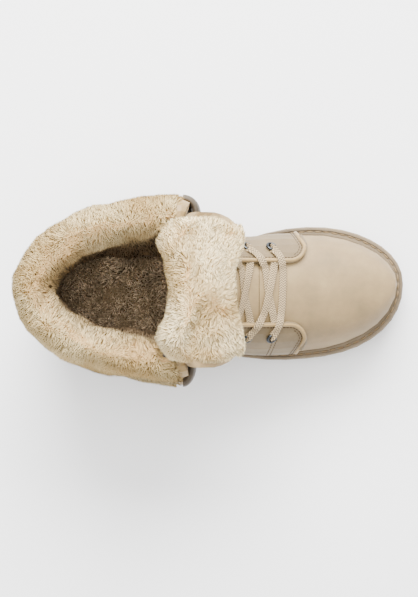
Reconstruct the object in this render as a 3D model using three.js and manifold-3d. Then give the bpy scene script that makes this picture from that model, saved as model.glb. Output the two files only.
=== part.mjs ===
// A right-foot lace-up ankle boot with a deep pile lining.
// Its shaft and tongue are folded down, pile outwards.
// Millimetres: +X to the toe, +Y to the inner (medial) side, +Z up. The floor is z = 0.
import * as THREE from "three";
import Module from "manifold-3d";
import { mergeVertices } from "three/addons/utils/BufferGeometryUtils.js";

const wasm = await Module();
wasm.setup();

// Clearance between pieces that touch
const gap = 0.3;

// Sole
const soleLength = 268;
const ballWidth = 98;
const heelSeat = 28; // floor to the foot bed under the heel
const foreSeat = 18; // floor to the foot bed under the ball
const toeSpring = 7;
const toeRound = 60; // length of the rounded toe
const toeBlunt = 2.2; // exponent of the toe's round
const heelRound = 36;
const toeTip = 5; // the tip lies this far to the inner side
const heelEnd = 74; // front of the heel
const treadStart = 112; // back of the forefoot tread
const treadEnd = 212; // where the toe spring starts
const archLift = 7;
const treadDepth = 4;
const lugPitch = 12;
const lugGroove = 4;
const railWidth = 9; // plain rim of the tread
const sideStep = 1.4; // depth of the step below the welt
const midsoleThick = 5;
const welt = { lip: 6, rim: 2.2, groove: 1.2, grooveWidth: 1.9, rand: 1.8, rise: 0.6 };

// Upper
const wall = 2;
const toeBox = 40; // height of the toe box over the foot bed
const instepRise = 66; // height of the instep over the foot bed, at the top eyelet
const foldHeight = 112; // floor to where the shaft turns over
const shaftFront = 0.403 * soleLength; // where the shaft's front edges end, from the heel's back
const collarFront = 48.5; // half width between those edges
const collarBack = 28; // half width of the shaft, carried back to the heel
const collarShift = 1.3; // the shaft stands this far to the inner side
const heelLean = 5; // the back seam leans in over the heel bulge
const foldRadius = 4;
const flapDrop = 44;
const gussetRim = 97; // floor to the gusset's rim
const gussetStart = 5.25; // the gusset starts this far ahead of the shaft's front edges
const gussetReach = 5.4; // and runs this far forward
const flapFlare = 2; // the flap's hem stands out this far
const frontFlare = { medial: 2, lateral: 5 }; // and this much more at its front corners
const pile = 8;
const liningFront = 0.36 * soleLength; // where the pile ends inside the shaft
const bindingWidth = 4.6;
const bindingThick = 4.2;

// Throat, eyestays and lacing
const throatFront = 0.597 * soleLength; // where the vamp ends and the tongue starts
const throatHalf = 22;
const throatShift = -1.3; // the throat's middle, to the outer side
const throatTop = { x: 0.507 * soleLength, z: 0.77 * foldHeight }; // where the throat's edges start to splay
const quarterFront = 0.726 * soleLength;
const quarterCorner = 12;
const quarterBack = 0.44 * soleLength;
const quarterSlant = 8; // the front edge leans back this far on its way to the welt
const quarterThick = 1.5;
const pipingRadius = 1.8;
const eyelet = {
  bore: 2,
  barrel: 2.6,
  flange: 4,
  thick: 1.1,
  first: 0.629 * soleLength, // the front eyelets
  pitch: 0.0653 * soleLength,
  inset: 10.5, // from the throat's edge
  count: 3,
};
const lace = { width: 5.8, thick: 1.3 };

// Tongue: it fills the throat, stands up behind it and is folded forward
const tongueThick = 1.8;
const tongueFold = { x: 0.416 * soleLength, z: foldHeight + 12, radius: 4 };
const tongueTip = 0.518 * soleLength;
const tongueDip = 0.5; // the flap falls this much in radians
const tongueHalf = 54;
const tongueShift = 0.4;
const tongueSink = 1; // in the throat, below the upper's face
const tonguePile = 8;
const tongueMargin = 7; // bare leather at each side of the flap

// Insole
const insoleThick = 4;

// Outline of the sole at its widest: along = share of the length, sides = shares of the ball width
const OUTLINE = [
  { along: 0.0, medial: 0.34, lateral: -0.36 },
  { along: 0.15, medial: 0.36, lateral: -0.38 },
  { along: 0.28, medial: 0.35, lateral: -0.39 },
  { along: 0.41, medial: 0.34, lateral: -0.435 },
  { along: 0.56, medial: 0.39, lateral: -0.505 },
  { along: 0.64, medial: 0.455, lateral: -0.525 },
  { along: 0.73, medial: 0.487, lateral: -0.515 },
  { along: 0.84, medial: 0.475, lateral: -0.475 },
  { along: 1.0, medial: 0.44, lateral: -0.42 },
];

// Ridge of the upper over the foot bed: along = share of the length, rise = share of the instep rise
const RIDGE = [
  { along: 0.0, rise: 1.35 },
  { along: 0.38, rise: 1.3 },
  { along: 0.46, rise: 1.18 },
  { along: 0.56, rise: 1.0 },
  { along: 0.64, rise: 0.86 },
  { along: 0.72, rise: 0.745 },
  { along: 0.82, rise: 0.655 },
  { along: 1.0, rise: 0.56 },
];

// Smooth value of a table's column at a share along it
function column(table, name, along) {
  const at = THREE.MathUtils.clamp(along, 0, 1);
  let i = 0;
  while (i < table.length - 2 && at > table[i + 1].along) i += 1;
  const [a, b] = [table[i], table[i + 1]];
  const [before, after] = [table[Math.max(i - 1, 0)], table[Math.min(i + 2, table.length - 1)]];
  const span = b.along - a.along;
  const slopeA = ((b[name] - before[name]) / (b.along - before.along || 1)) * span;
  const slopeB = ((after[name] - a[name]) / (after.along - a.along || 1)) * span;
  const t = (at - a.along) / span;
  const h = 3 * t * t - 2 * t * t * t;
  return a[name] * (1 - h) + b[name] * h + slopeA * t * (1 - t) ** 2 - slopeB * t * t * (1 - t);
}

const smooth = (from, to, x) => THREE.MathUtils.smoothstep(x, from, to);
const mix = THREE.MathUtils.lerp;

// A closed solid from points and triangles; faces are turned outwards
function solid(points, faces) {
  const flat = new THREE.BufferGeometry();
  flat.setAttribute("position", new THREE.Float32BufferAttribute(points.flat(), 3));
  flat.setIndex(faces.flat());
  const merged = mergeVertices(flat, 1e-3);
  const index = [...merged.index.array];
  const triVerts = [];
  for (let i = 0; i < index.length; i += 3) {
    const [a, b, c] = index.slice(i, i + 3);
    if (a !== b && b !== c && c !== a) triVerts.push(a, b, c);
  }
  const vertProperties = new Float32Array(merged.attributes.position.array);
  const make = (tris) =>
    new wasm.Manifold(new wasm.Mesh({ numProp: 3, vertProperties, triVerts: new Uint32Array(tris) }));
  const made = make(triVerts);
  if (made.volume() > 0) return made;
  for (let i = 0; i < triVerts.length; i += 3) {
    [triVerts[i + 1], triVerts[i + 2]] = [triVerts[i + 2], triVerts[i + 1]];
  }
  return make(triVerts);
}

// A sheet between two equal grids of points
function sheet(front, back) {
  const rows = front.length;
  const columns = front[0].length;
  const points = [...front.flat(), ...back.flat()];
  const near = (r, c) => r * columns + c;
  const far = (r, c) => rows * columns + near(r, c);
  const faces = [];
  const quad = (a, b, c, d) => faces.push([a, b, c], [a, c, d]);
  for (let r = 0; r < rows - 1; r += 1) {
    for (let c = 0; c < columns - 1; c += 1) {
      quad(near(r, c), near(r, c + 1), near(r + 1, c + 1), near(r + 1, c));
      quad(far(r, c), far(r + 1, c), far(r + 1, c + 1), far(r, c + 1));
    }
    quad(near(r, 0), near(r + 1, 0), far(r + 1, 0), far(r, 0));
    quad(near(r + 1, columns - 1), near(r, columns - 1), far(r, columns - 1), far(r + 1, columns - 1));
  }
  for (let c = 0; c < columns - 1; c += 1) {
    quad(near(0, c + 1), near(0, c), far(0, c), far(0, c + 1));
    quad(near(rows - 1, c), near(rows - 1, c + 1), far(rows - 1, c + 1), far(rows - 1, c));
  }
  return solid(points, faces);
}

// A solid through closed loops; each loop runs up the medial side and back down the lateral side
function loft(loops) {
  const count = loops[0].length;
  const half = count / 2;
  const points = loops.flat();
  const faces = [];
  for (let j = 0; j < loops.length - 1; j += 1) {
    for (let i = 0; i < count; i += 1) {
      const n = (i + 1) % count;
      const [a, b, c, d] = [j * count + i, j * count + n, (j + 1) * count + n, (j + 1) * count + i];
      faces.push([a, b, c], [a, c, d]);
    }
  }
  const cap = (start, flip) => {
    for (let i = 0; i < half; i += 1) {
      const [a, b] = [start + i, start + i + 1];
      const [c, d] = [start + count - i - 1, start + ((count - i) % count)];
      faces.push(...(flip ? [[a, b, c], [a, c, d]] : [[a, c, b], [a, d, c]]));
    }
  };
  cap(0, false);
  cap((loops.length - 1) * count, true);
  return solid(points, faces);
}

// A straight prism from an outline, standing along z or lying along y
function prism(outline, from, to, lying = false) {
  const shape = new THREE.Shape(outline.map(([x, y]) => new THREE.Vector2(x, y)));
  const made = new THREE.ExtrudeGeometry(shape, { depth: to - from, bevelEnabled: false, curveSegments: 6 });
  made.translate(0, 0, from);
  if (lying) made.rotateX(Math.PI / 2);
  return fromGeometry(made);
}

function fromGeometry(geometry, matrix = new THREE.Matrix4()) {
  const plain = geometry.clone().applyMatrix4(matrix);
  plain.deleteAttribute("normal");
  plain.deleteAttribute("uv");
  const merged = mergeVertices(plain, 1e-3);
  const place = merged.attributes.position;
  const points = [];
  for (let i = 0; i < place.count; i += 1) points.push([place.getX(i), place.getY(i), place.getZ(i)]);
  const faces = [];
  for (let i = 0; i < merged.index.count; i += 3) faces.push([...merged.index.array.slice(i, i + 3)]);
  return solid(points, faces);
}

const unionOf = (solids) => solids.reduce((a, b) => a.add(b));

// Sole heights
function bed(x) {
  const drop = smooth(0.26 * soleLength, 0.62 * soleLength, x);
  const lift = Math.max(0, (x - treadEnd) / (soleLength - treadEnd));
  return mix(heelSeat, foreSeat, drop) + toeSpring * lift * lift;
}

function ground(x) {
  const lift = Math.max(0, (x - treadEnd) / (soleLength - treadEnd));
  const arch = smooth(heelEnd, heelEnd + 12, x) * (1 - smooth(treadStart - 12, treadStart, x));
  return archLift * arch + (toeSpring + 1) * lift * lift;
}

// Plan of the sole, or of the upper's foot when it is inset
function side(x, name, inset = 0) {
  const length = soleLength - 2 * inset;
  const along = (x - inset) / length;
  const outward = Math.sign(column(OUTLINE, name, 0.5));
  const edge = column(OUTLINE, name, x / soleLength) * ballWidth - outward * inset;
  const fromToe = THREE.MathUtils.clamp((soleLength - inset - x) / toeRound, 0, 1);
  const fromHeel = THREE.MathUtils.clamp((along * length) / heelRound, 0, 1);
  const toe = (1 - (1 - fromToe) ** toeBlunt) ** (1 / toeBlunt);
  const heel = Math.sqrt(1 - (1 - fromHeel) ** 2);
  const centre = mix(0, toeTip, smooth(0.75 * soleLength, soleLength, x));
  return centre + (edge - centre) * toe * heel;
}

// Stations along the boot, close together at both round ends
const stations = (count, inset) =>
  Array.from({ length: count + 1 }, (_, i) => {
    const share = (1 - Math.cos((Math.PI * i) / count)) / 2;
    return mix(inset, soleLength - inset, share);
  });

function planLoop(inset, height, count = 24) {
  const xs = stations(count, inset);
  const medial = xs.map((x) => [x, side(x, "medial", inset), height(x)]);
  const lateral = xs.slice(1, -1).reverse().map((x) => [x, side(x, "lateral", inset), height(x)]);
  return [...medial, ...lateral];
}

// The upper's form

// Exponents of the rounded section across the instep and vamp
const DOME = { width: 2.7, height: 2.6 };

// The quarters stand out this far over the sole's waist
const BELLY = { medial: 8, lateral: 3 };

// Height of the ridge over the foot bed
function ridge(x, inset) {
  const fromToe = THREE.MathUtils.clamp((soleLength - welt.lip - inset - x) / (0.8 * toeRound), 0, 1);
  const dome = mix(0.42, 1, Math.sqrt(1 - (1 - fromToe) ** 2));
  const instep = column(RIDGE, "rise", x / soleLength) * instepRise;
  const toe = smooth(0.6 * soleLength, 0.86 * soleLength, x);
  return mix(instep, toeBox, toe) * dome - inset;
}

const turnHeight = foldHeight - foldRadius - wall; // where the shaft's wall ends and its turn-over starts
const instepShare = (x) => smooth(0.385 * soleLength, 0.57 * soleLength, x);
const rise = (x, inset) => mix(foldHeight - bed(x), ridge(x, inset), instepShare(x));

// A point of the form: share = 0 at the feather line, 1 at the ridge or above the shaft
function formPoint(x, name, share, inset) {
  const sign = name === "medial" ? 1 : -1;
  const base = side(x, name, welt.lip + inset);
  const up = THREE.MathUtils.clamp(share, 0, 1);
  const bulge = (1 - up ** DOME.height) ** (1 / DOME.width);
  const centre = mix(0, toeTip, smooth(0.75 * soleLength, soleLength, x));
  const behind = smooth(0.3 * soleLength, 0.45 * soleLength, x);
  const waist = behind * (1 - smooth(0.52 * soleLength, 0.72 * soleLength, x));
  const belly = sign * waist * BELLY[name] * Math.sin(Math.PI * up);
  const dome = centre + (base - centre) * bulge + belly;
  const fromHeel = THREE.MathUtils.clamp((x - welt.lip - inset) / (1.25 * heelRound), 0, 1);
  const collar = mix(collarBack, collarFront, x / shaftFront) + sign * collarShift - inset;
  const turn = Math.sqrt(1 - (1 - fromHeel) ** 2) * sign * collar;
  const shaft = mix(base, turn, smooth(0.15, 0.95, share));
  const lean = heelLean * Math.sin(Math.PI * up) * (1 - smooth(0, 0.2 * soleLength, x));
  return [x + lean, mix(shaft, dome, instepShare(x)), bed(x) + rise(x, inset) * share];
}

// More stations where the instep runs into the shaft
const THROAT_STATIONS = [0.39, 0.465, 0.54, 0.61].map((share) => share * soleLength);

// The form as a filled solid, inset from the upper's outer face; it can be carried on below its foot
function form(inset, below = 0, count = 20, levels = 8) {
  const xs = [...stations(count, welt.lip + inset), ...THROAT_STATIONS].sort((a, b) => a - b);
  const share = (j) => Math.sin((Math.PI / 2) * (j / levels)) ** (2 / DOME.height);
  const shares = Array.from({ length: levels + 1 }, (_, j) => share(j));
  if (below > 0) shares.unshift(-below);
  const loops = shares.map((share) => {
    const medial = xs.map((x) => formPoint(x, "medial", share, inset));
    const lateral = xs.slice(1, -1).reverse().map((x) => formPoint(x, "lateral", share, inset));
    return [...medial, ...lateral];
  });
  return loft(loops);
}

// The form's point over a place of the plan, on its instep or vamp
function onForm(x, y, inset) {
  const centre = mix(0, toeTip, smooth(0.75 * soleLength, soleLength, x));
  const name = y > centre ? "medial" : "lateral";
  let [low, high] = [0.35, 1];
  for (let i = 0; i < 30; i += 1) {
    const middle = (low + high) / 2;
    if (Math.abs(formPoint(x, name, middle, inset)[1] - centre) > Math.abs(y - centre)) low = middle;
    else high = middle;
  }
  return [x, y, formPoint(x, name, low, inset)[2]];
}

function normalAt(x, y, inset) {
  const step = 3;
  const slopeX = (onForm(x + step, y, inset)[2] - onForm(x - step, y, inset)[2]) / (2 * step);
  const slopeY = (onForm(x, y + step, inset)[2] - onForm(x, y - step, inset)[2]) / (2 * step);
  return new THREE.Vector3(-slopeX, -slopeY, 1).normalize();
}

// Cutters of the throat: a slot along the instep and the splayed front of the shaft
function box([x0, x1], [y0, y1], [z0, z1]) {
  return prism([[x0, y0], [x1, y0], [x1, y1], [x0, y1]], z0, z1);
}

function throat() {
  const edges = [throatShift - throatHalf - 1, throatShift + throatHalf + 1];
  const slot = box([quarterBack - 30, throatFront], edges, [foldHeight / 2, 2 * foldHeight]);
  const top = 2 * foldHeight;
  const beyond = soleLength;
  const front = [
    [throatTop.x, throatTop.z],
    [beyond, throatTop.z + 6],
    [beyond, top],
    [shaftFront - 2, top],
    [shaftFront - 2, turnHeight],
  ];
  const splay = prism(front, -ballWidth, ballWidth, true);
  const above = box([-ballWidth, beyond], [-ballWidth, ballWidth], [turnHeight, top]);
  return unionOf([slot, splay, above]);
}

// The turn-over of the shaft

// Stations round the shaft, from its inner front edge round the heel to its outer one
const TURN_STEPS = 13;
function turnStations(front) {
  const xs = Array.from({ length: TURN_STEPS + 1 }, (_, i) => {
    const share = 1 - Math.cos((Math.PI / 2) * (i / TURN_STEPS));
    return mix(welt.lip, front, share);
  });
  const medial = [...xs].reverse().map((x) => ({ x, name: "medial" }));
  return [...medial, ...xs.slice(1).map((x) => ({ x, name: "lateral" }))];
}

// Shaft wall at a height, inset from its outer face
function wallPoint({ x, name }, z, inset) {
  const back = welt.lip + inset;
  const at = back + ((x - welt.lip) * (shaftFront - back)) / (shaftFront - welt.lip);
  return formPoint(at, name, (z - bed(at)) / rise(at, inset), inset);
}

function turnNormal({ x, name }) {
  const step = 0.4;
  const sign = name === "medial" ? 1 : -1;
  if (x < welt.lip + step) return [-1, 0];
  const a = wallPoint({ x: x - step, name }, turnHeight, 0);
  const b = wallPoint({ x: x + step, name }, turnHeight, 0);
  const [dx, dy] = [b[0] - a[0], b[1] - a[1]];
  const length = Math.hypot(dx, dy);
  return [(-dy / length) * sign, (dx / length) * sign];
}

// A point of the turn-over. depth: from the leather's hidden face towards the pile
// run: millimetres along the leather from the start of the fold; below 0 is the standing wall
function turnPoint(station, run, depth) {
  const arc = Math.PI * foldRadius;
  const normal = turnNormal(station);
  const base = wallPoint(station, turnHeight, 0);
  const offset = (out, z) => [base[0] + normal[0] * out, base[1] + normal[1] * out, z];
  if (run <= 0) {
    const near = offset(-depth, turnHeight + run);
    const far = wallPoint(station, turnHeight + run, depth);
    const t = smooth(0, 4 * foldRadius, -run);
    return near.map((value, i) => mix(value, far[i], t));
  }
  if (run < arc) {
    const angle = run / foldRadius;
    const radius = foldRadius + depth;
    return offset(foldRadius - radius * Math.cos(angle), turnHeight + radius * Math.sin(angle));
  }
  const down = run - arc;
  const corner = smooth(0.55 * shaftFront, shaftFront, station.x);
  const flare = (flapFlare + frontFlare[station.name] * corner) * (down / flapDrop) ** 1.5;
  return offset(2 * foldRadius + depth + flare, turnHeight - down);
}

const turnArc = Math.PI * foldRadius;
const ARC_STEPS = 7;
const arcRuns = Array.from({ length: ARC_STEPS + 1 }, (_, i) => (turnArc * i) / ARC_STEPS);
const dropRuns = (drop, count) =>
  Array.from({ length: count }, (_, i) => turnArc + (drop * (i + 1)) / count);

// The front end of each piece slants back towards the inside of the shaft
function slanted(stationsList, front, run, inside) {
  const t = 1 - smooth(-2 * foldRadius, turnArc, run);
  const end = mix(front, inside, t);
  const scale = (end - welt.lip) / (front - welt.lip);
  return stationsList.map(({ x, name }) => ({ x: welt.lip + (x - welt.lip) * scale, name }));
}

function turnSheet(front, inside, runs, near, far) {
  const list = turnStations(front);
  const grid = (depthOf) =>
    runs.map((run, r) =>
      slanted(list, front, run, inside).map((s, k) => turnPoint(s, run, depthOf(r, k, run))),
    );
  return sheet(grid(near), grid(far));
}

// Leather of the turn-over, with a root inside the standing wall
function turnedLeather() {
  const root = 4;
  const runs = [-root, -0.4, ...arcRuns, ...dropRuns(flapDrop, 4)];
  const inner = (r) => (r < 2 ? gap : 0);
  return turnSheet(shaftFront, shaftFront - 2, runs, inner, (r) => wall - inner(r));
}

// Pile: rows of soft locks, as ridges that run with the hair
const lockHeight = 1.5;
function locks(r, k, seed) {
  const swirl = Math.sin(k * 1.9 + r * 0.8 + seed) + 0.6 * Math.sin(k * 0.73 - r * 1.7 + 2 * seed);
  return (lockHeight * swirl) / 1.6;
}

function cuffPile() {
  const drop = flapDrop + 3;
  const lining = foldHeight - heelSeat - insoleThick - foldRadius - wall - 2;
  const legRuns = [0, 0.25, 0.5, 0.75, 1].map((share) => mix(-lining, -2 * foldRadius, share));
  const runs = [...legRuns, ...arcRuns, ...dropRuns(drop, 5)];
  const last = runs.length - 1;
  const thick = (r, k) => {
    const edge = Math.min(r, last - r, 2) / 2;
    const ends = Math.min(k, 2 * TURN_STEPS - k, 2) / 2;
    const deep = mix(0.6, 1, smooth(-0.8 * lining, 0, runs[r]));
    return pile * deep * mix(0.62, 1, Math.min(edge, ends)) + locks(r, k, 0.4) * edge * ends;
  };
  const front = shaftFront - bindingWidth - gap;
  return turnSheet(front, liningFront, runs, () => wall / 2, (r, k) => wall + gap + thick(r, k));
}

// Leather binding on a front edge of the turn-over
function cuffBinding(name) {
  const runs = [-2 * foldRadius, ...arcRuns, ...dropRuns(flapDrop, 4)];
  const steps = 2;
  const grid = (depth) =>
    runs.map((run) => {
      const inside = 1 - smooth(-2 * foldRadius, turnArc, run);
      const pileEnd = mix(shaftFront - bindingWidth - gap, liningFront, inside);
      return Array.from({ length: steps + 1 }, (_, i) => {
        const x = pileEnd + gap + (bindingWidth * i) / steps;
        const soft = i === steps && depth > wall ? 0.35 * bindingThick : 0;
        return turnPoint({ x, name }, run, depth - soft);
      });
    });
  return sheet(grid(wall), grid(wall + gap + bindingThick));
}

// Space that the upper's leather takes, with clearance
function upperSpace() {
  const standing = form(-gap, 0.1).subtract(form(wall + gap, 0.2)).subtract(throat());
  const runs = [-2 * foldRadius, -foldRadius, ...arcRuns, ...dropRuns(flapDrop + gap, 4)];
  const turned = turnSheet(shaftFront + gap, shaftFront - 2, runs, () => -gap, () => wall + gap);
  return standing.add(turned);
}

// Space that the turn-over takes, with clearance
function cuffSpace() {
  const runs = [-3 * foldRadius, -foldRadius, ...arcRuns, ...dropRuns(flapDrop + 6, 3)];
  const outer = wall + gap + pile + lockHeight + gap;
  return turnSheet(shaftFront + gap, liningFront + bindingWidth + 2 * gap, runs, () => -gap, () => outer);
}

// Eyelets

const placed = ([x, y, z], turn) =>
  new THREE.Matrix4().compose(new THREE.Vector3(x, y, z), turn, new THREE.Vector3(1, 1, 1));

// A pressed metal ring standing on a surface at a point
function ring([x, y, z], normal, reach) {
  const { bore, barrel, flange, thick } = eyelet;
  const profile = [
    [bore, -reach],
    [barrel, -reach],
    [barrel, 0],
    [flange, 0],
    [flange - 0.2, 0.55 * thick],
    [0.5 * (flange + bore), thick],
    [bore, 0.6 * thick],
    [bore, -reach],
  ];
  const lathe = new THREE.LatheGeometry(profile.map(([r, h]) => new THREE.Vector2(r, h)), 9);
  const turn = new THREE.Quaternion().setFromUnitVectors(new THREE.Vector3(0, 1, 0), normal);
  return fromGeometry(lathe, placed([x, y, z], turn));
}

function bore([x, y, z], normal, radius, down, up) {
  const rod = new THREE.CylinderGeometry(radius, radius, down + up, 10).translate(0, (up - down) / 2, 0);
  const turn = new THREE.Quaternion().setFromUnitVectors(new THREE.Vector3(0, 1, 0), normal);
  return fromGeometry(rod, placed([x, y, z], turn));
}

const quarterGap = 0.45;
const quarterOuter = -(quarterGap + quarterThick);
const eyeletLift = 1; // room under a flat flange on the curved leather

// Places of the eyelets on a quarter, from the toe upwards
function quarterEyelets(name) {
  const sign = name === "medial" ? 1 : -1;
  return Array.from({ length: eyelet.count }, (_, i) => {
    const x = eyelet.first - eyelet.pitch * i;
    const y = throatShift + sign * (throatHalf + eyelet.inset);
    const normal = normalAt(x, y, quarterOuter);
    const at = onForm(x, y, quarterOuter);
    return { at: at.map((v, k) => v + normal.getComponent(k) * eyeletLift), normal };
  });
}

// Places of the eyelets on the turned-down shaft
function cuffEyelets(name) {
  const station = { x: shaftFront - 14, name };
  return [0.9 * foldRadius, turnArc + 5].map((run) => {
    const here = turnPoint(station, run, wall);
    const out = turnPoint(station, run, wall + 1);
    const normal = new THREE.Vector3(...out.map((v, k) => v - here[k])).normalize();
    const lift = run < turnArc ? 1.6 : eyeletLift;
    return { at: here.map((v, k) => v + normal.getComponent(k) * lift), normal };
  });
}

// Quarters: derby overlays with piping along the throat

function quarterEdge(name) {
  const sign = name === "medial" ? 1 : -1;
  const y = (out) => throatShift + sign * (throatHalf + out);
  const corner = Array.from({ length: 6 }, (_, i) => {
    const angle = (Math.PI / 2) * (i / 5);
    const x = quarterFront - quarterCorner * (1 - Math.sin(angle));
    return [x, y(quarterCorner * (1 - Math.cos(angle)))];
  });
  return { corner, y };
}

function quarter(name) {
  const { corner, y } = quarterEdge(name);
  const plan = [
    [quarterBack, y(0)],
    ...corner,
    [quarterFront - quarterSlant, y(26)],
    [quarterFront - quarterSlant, y(60)],
    [quarterBack, y(60)],
  ];
  const shell = form(quarterOuter).subtract(form(-quarterGap, 0.1));
  const overWelt = loft([planLoop(-5, () => 0), planLoop(-5, (x) => bed(x) + welt.rim + welt.rise + gap)]);
  const panel = shell.intersect(prism(plan, 0, 2 * foldHeight)).subtract(quarterBehind()).subtract(overWelt);
  const lift = -(quarterGap + pipingRadius);
  const path = [
    ...[0, 1, 2, 3, 4].map((i) => [mix(throatTop.x + 3, quarterFront - quarterCorner, i / 5), y(1)]),
    ...corner.map(([x, yy]) => [x - 1, yy + Math.sign(yy) * 0.6]),
    [quarterFront - 0.45 * quarterSlant, y(19)],
  ];
  const points = path.map(([x, yy]) => new THREE.Vector3(...onForm(x, yy, lift)));
  return panel.add(cord(points, pipingRadius));
}

// The quarters end under the turned-down shaft
function quarterBehind() {
  const top = 2 * foldHeight;
  const [ahead, bottom] = [throatTop.x + 2, throatTop.z - 6];
  const outline = [[ahead, bottom], [0, bottom], [0, top], [ahead, top]];
  return prism(outline, -ballWidth, ballWidth, true);
}

// A round cord through points
function cord(points, radius, sides = 6) {
  const curve = new THREE.CatmullRomCurve3(points);
  const steps = 2 * points.length;
  const tube = new THREE.TubeGeometry(curve, steps, radius, sides, false);
  const place = tube.attributes.position;
  const at = (r, k) => {
    const i = r * (sides + 1) + (k % sides);
    return [place.getX(i), place.getY(i), place.getZ(i)];
  };
  const across = (r) => Array.from({ length: sides }, (_, k) => at(r, k));
  const rings = Array.from({ length: steps + 1 }, (_, r) => across(r));
  return loft(rings);
}

// Laces

// A flat band through places of the plan; lift: from the form's face to the band's underside
function band(path) {
  const corners = path.map(([x, y, lift]) => new THREE.Vector3(x, y, lift));
  const curve = new THREE.CatmullRomCurve3(corners, false, "centripetal");
  const steps = 3 * (path.length - 1);
  const places = curve.getPoints(steps);
  const up = places.map((p) => normalAt(p.x, p.y, -p.z));
  const middles = places.map((p) => new THREE.Vector3(...onForm(p.x, p.y, -p.z)));
  const grid = (rise) =>
    middles.map((middle, i) => {
      const along = middles[Math.min(i + 1, steps)].clone().sub(middles[Math.max(i - 1, 0)]);
      const across = along.cross(up[i]).normalize();
      return [-1, 1].map((s) =>
        middle.clone().addScaledVector(across, (s * lace.width) / 2).addScaledVector(up[i], rise).toArray(),
      );
    });
  return sheet(grid(0), grid(lace.thick));
}

function laces() {
  const over = quarterGap + quarterThick + gap; // on a quarter
  const crest = quarterGap + 2 * pipingRadius + gap; // over its piping
  const low = gap; // on the tongue
  const edge = (sign, out) => throatShift + sign * (throatHalf + out);
  const hole = eyelet.inset - 1;
  const top = over + eyeletLift + eyelet.thick;
  const { first, pitch } = eyelet;
  const bar = [
    [first + 0.06 * pitch, edge(1, hole), top],
    [first + 0.31 * pitch, edge(1, 5), crest],
    [first + 0.43 * pitch, edge(1, 0), crest],
    [first + 0.48 * pitch, edge(1, -8), 2.6],
    [first + 0.47 * pitch, throatShift, 2],
    [first + 0.41 * pitch, edge(-1, -8), 2.6],
    [first + 0.35 * pitch, edge(-1, 0), crest],
    [first + 0.25 * pitch, edge(-1, 5), crest],
    [first, edge(-1, hole), top],
  ];
  const tucked = -2.6; // a band that goes under a quarter ends beside the piping
  const crossing = (i) => {
    const x = first - pitch * i;
    const high = i - 1; // the instep steepens here
    const fromMedial = [
      [x + 0.06 * pitch, edge(1, hole), top + 2 * high],
      [x + 0.40 * pitch, edge(1, 5), crest + high],
      [x + 0.69 * pitch, edge(1, 0), crest + high],
      [x + 0.81 * pitch, edge(1, -9), 1.4],
      [x + 0.88 * pitch, throatShift, low],
      [x + 1.01 * pitch, edge(-1, -11), low],
      [x + 1.11 * pitch, edge(-1, tucked), low],
    ];
    const fromLateral = [
      [x + 0.06 * pitch, edge(-1, hole), top + 2 * high],
      [x + 0.32 * pitch, edge(-1, 5), crest + high],
      [x + 0.54 * pitch, edge(-1, 0), crest + high],
      [x + 0.75 * pitch, edge(-1, -9), 2],
      [x + 0.91 * pitch, throatShift, low + lace.thick - 0.1],
      [x + 1.05 * pitch, edge(1, -10), low + lace.thick - 0.1],
      [x + 1.11 * pitch, edge(1, tucked), low],
    ];
    return band(fromMedial).add(band(fromLateral));
  };
  return { lace_bar: band(bar), lace_cross_front: crossing(1), lace_cross_back: crossing(2) };
}

// Tongue

// Rows of the tongue's leather: x, z of its face, direction out of its hidden side, half width
function tongueRows() {
  const rows = [];
  const { x, z, radius } = tongueFold;
  const width = (share) => mix(throatHalf + 1, tongueHalf, smooth(0, 1, share));
  rows.push({ x: x + 15, z: z - 26, out: [0.5, 0.87], half: width(0.25) });
  rows.push({ x: x + 4, z: z - 16, out: [0.85, 0.52], half: width(0.6) });
  const arcSteps = 6;
  for (let i = 0; i <= arcSteps; i += 1) {
    const angle = mix(Math.PI, Math.PI / 2 - tongueDip, i / arcSteps);
    const out = [-Math.cos(angle), -Math.sin(angle)];
    const half = width(0.85 + 0.15 * (i / arcSteps));
    rows.push({ x: x - out[0] * radius, z: z - out[1] * radius, out, half });
  }
  const last = rows[rows.length - 1];
  const reach = (tongueTip - last.x) / Math.cos(tongueDip);
  const flapSteps = 4;
  for (let i = 1; i <= flapSteps; i += 1) {
    const run = (reach * i) / flapSteps;
    const round = 3.5 * smooth(0.6, 1, i / flapSteps);
    const at = { x: last.x + run * Math.cos(tongueDip), z: last.z - run * Math.sin(tongueDip) };
    rows.push({ ...at, out: last.out, half: tongueHalf - round, tip: i / flapSteps });
  }
  return rows;
}

// A place across the tongue; depth: from its leather's front face towards the pile
function tonguePoint(row, across, depth, margin = 0) {
  const y = across * (row.half - margin);
  const out = Math.abs(y / row.half);
  const corner = smooth(0.82, 1, out);
  const tip = row.tip ?? 0;
  const wide = smooth(throatHalf + 8, tongueHalf - 2, row.half);
  const swell = 8 * Math.exp(-(((out - 0.62) / 0.25) ** 2)) * wide;
  const shift = mix(4 * corner - swell, 7 * smooth(0.1, 0.75, out) - 9 * corner, smooth(0, 1, tip));
  return [row.x + shift - row.out[0] * depth, tongueShift + y, row.z - 5 * out * out - row.out[1] * depth];
}

const ACROSS = 14;
const acrossAt = (k) => (2 * k) / ACROSS - 1;

// The part that fills the throat follows the upper's form
function tongueInThroat(depth) {
  return [throatFront - gap, 152, 143, throatTop.x].map((x) =>
    Array.from({ length: ACROSS + 1 }, (_, k) => {
      const y = throatShift + acrossAt(k) * (throatHalf + 1 - gap);
      return onForm(x, y, depth + tongueSink);
    }),
  );
}

const tongueGrid = (rows, depth) =>
  rows.map((row) => Array.from({ length: ACROSS + 1 }, (_, k) => tonguePoint(row, acrossAt(k), depth)));

function tongue() {
  const grid = (depth) => [...tongueInThroat(depth), ...tongueGrid(tongueRows(), depth)];
  return sheet(grid(0), grid(tongueThick));
}

// Space that the tongue's leather takes, with clearance
function tongueSpace() {
  const grid = (depth) => tongueGrid(tongueRows(), depth);
  return sheet(grid(-gap), grid(tongueThick + gap));
}

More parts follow.
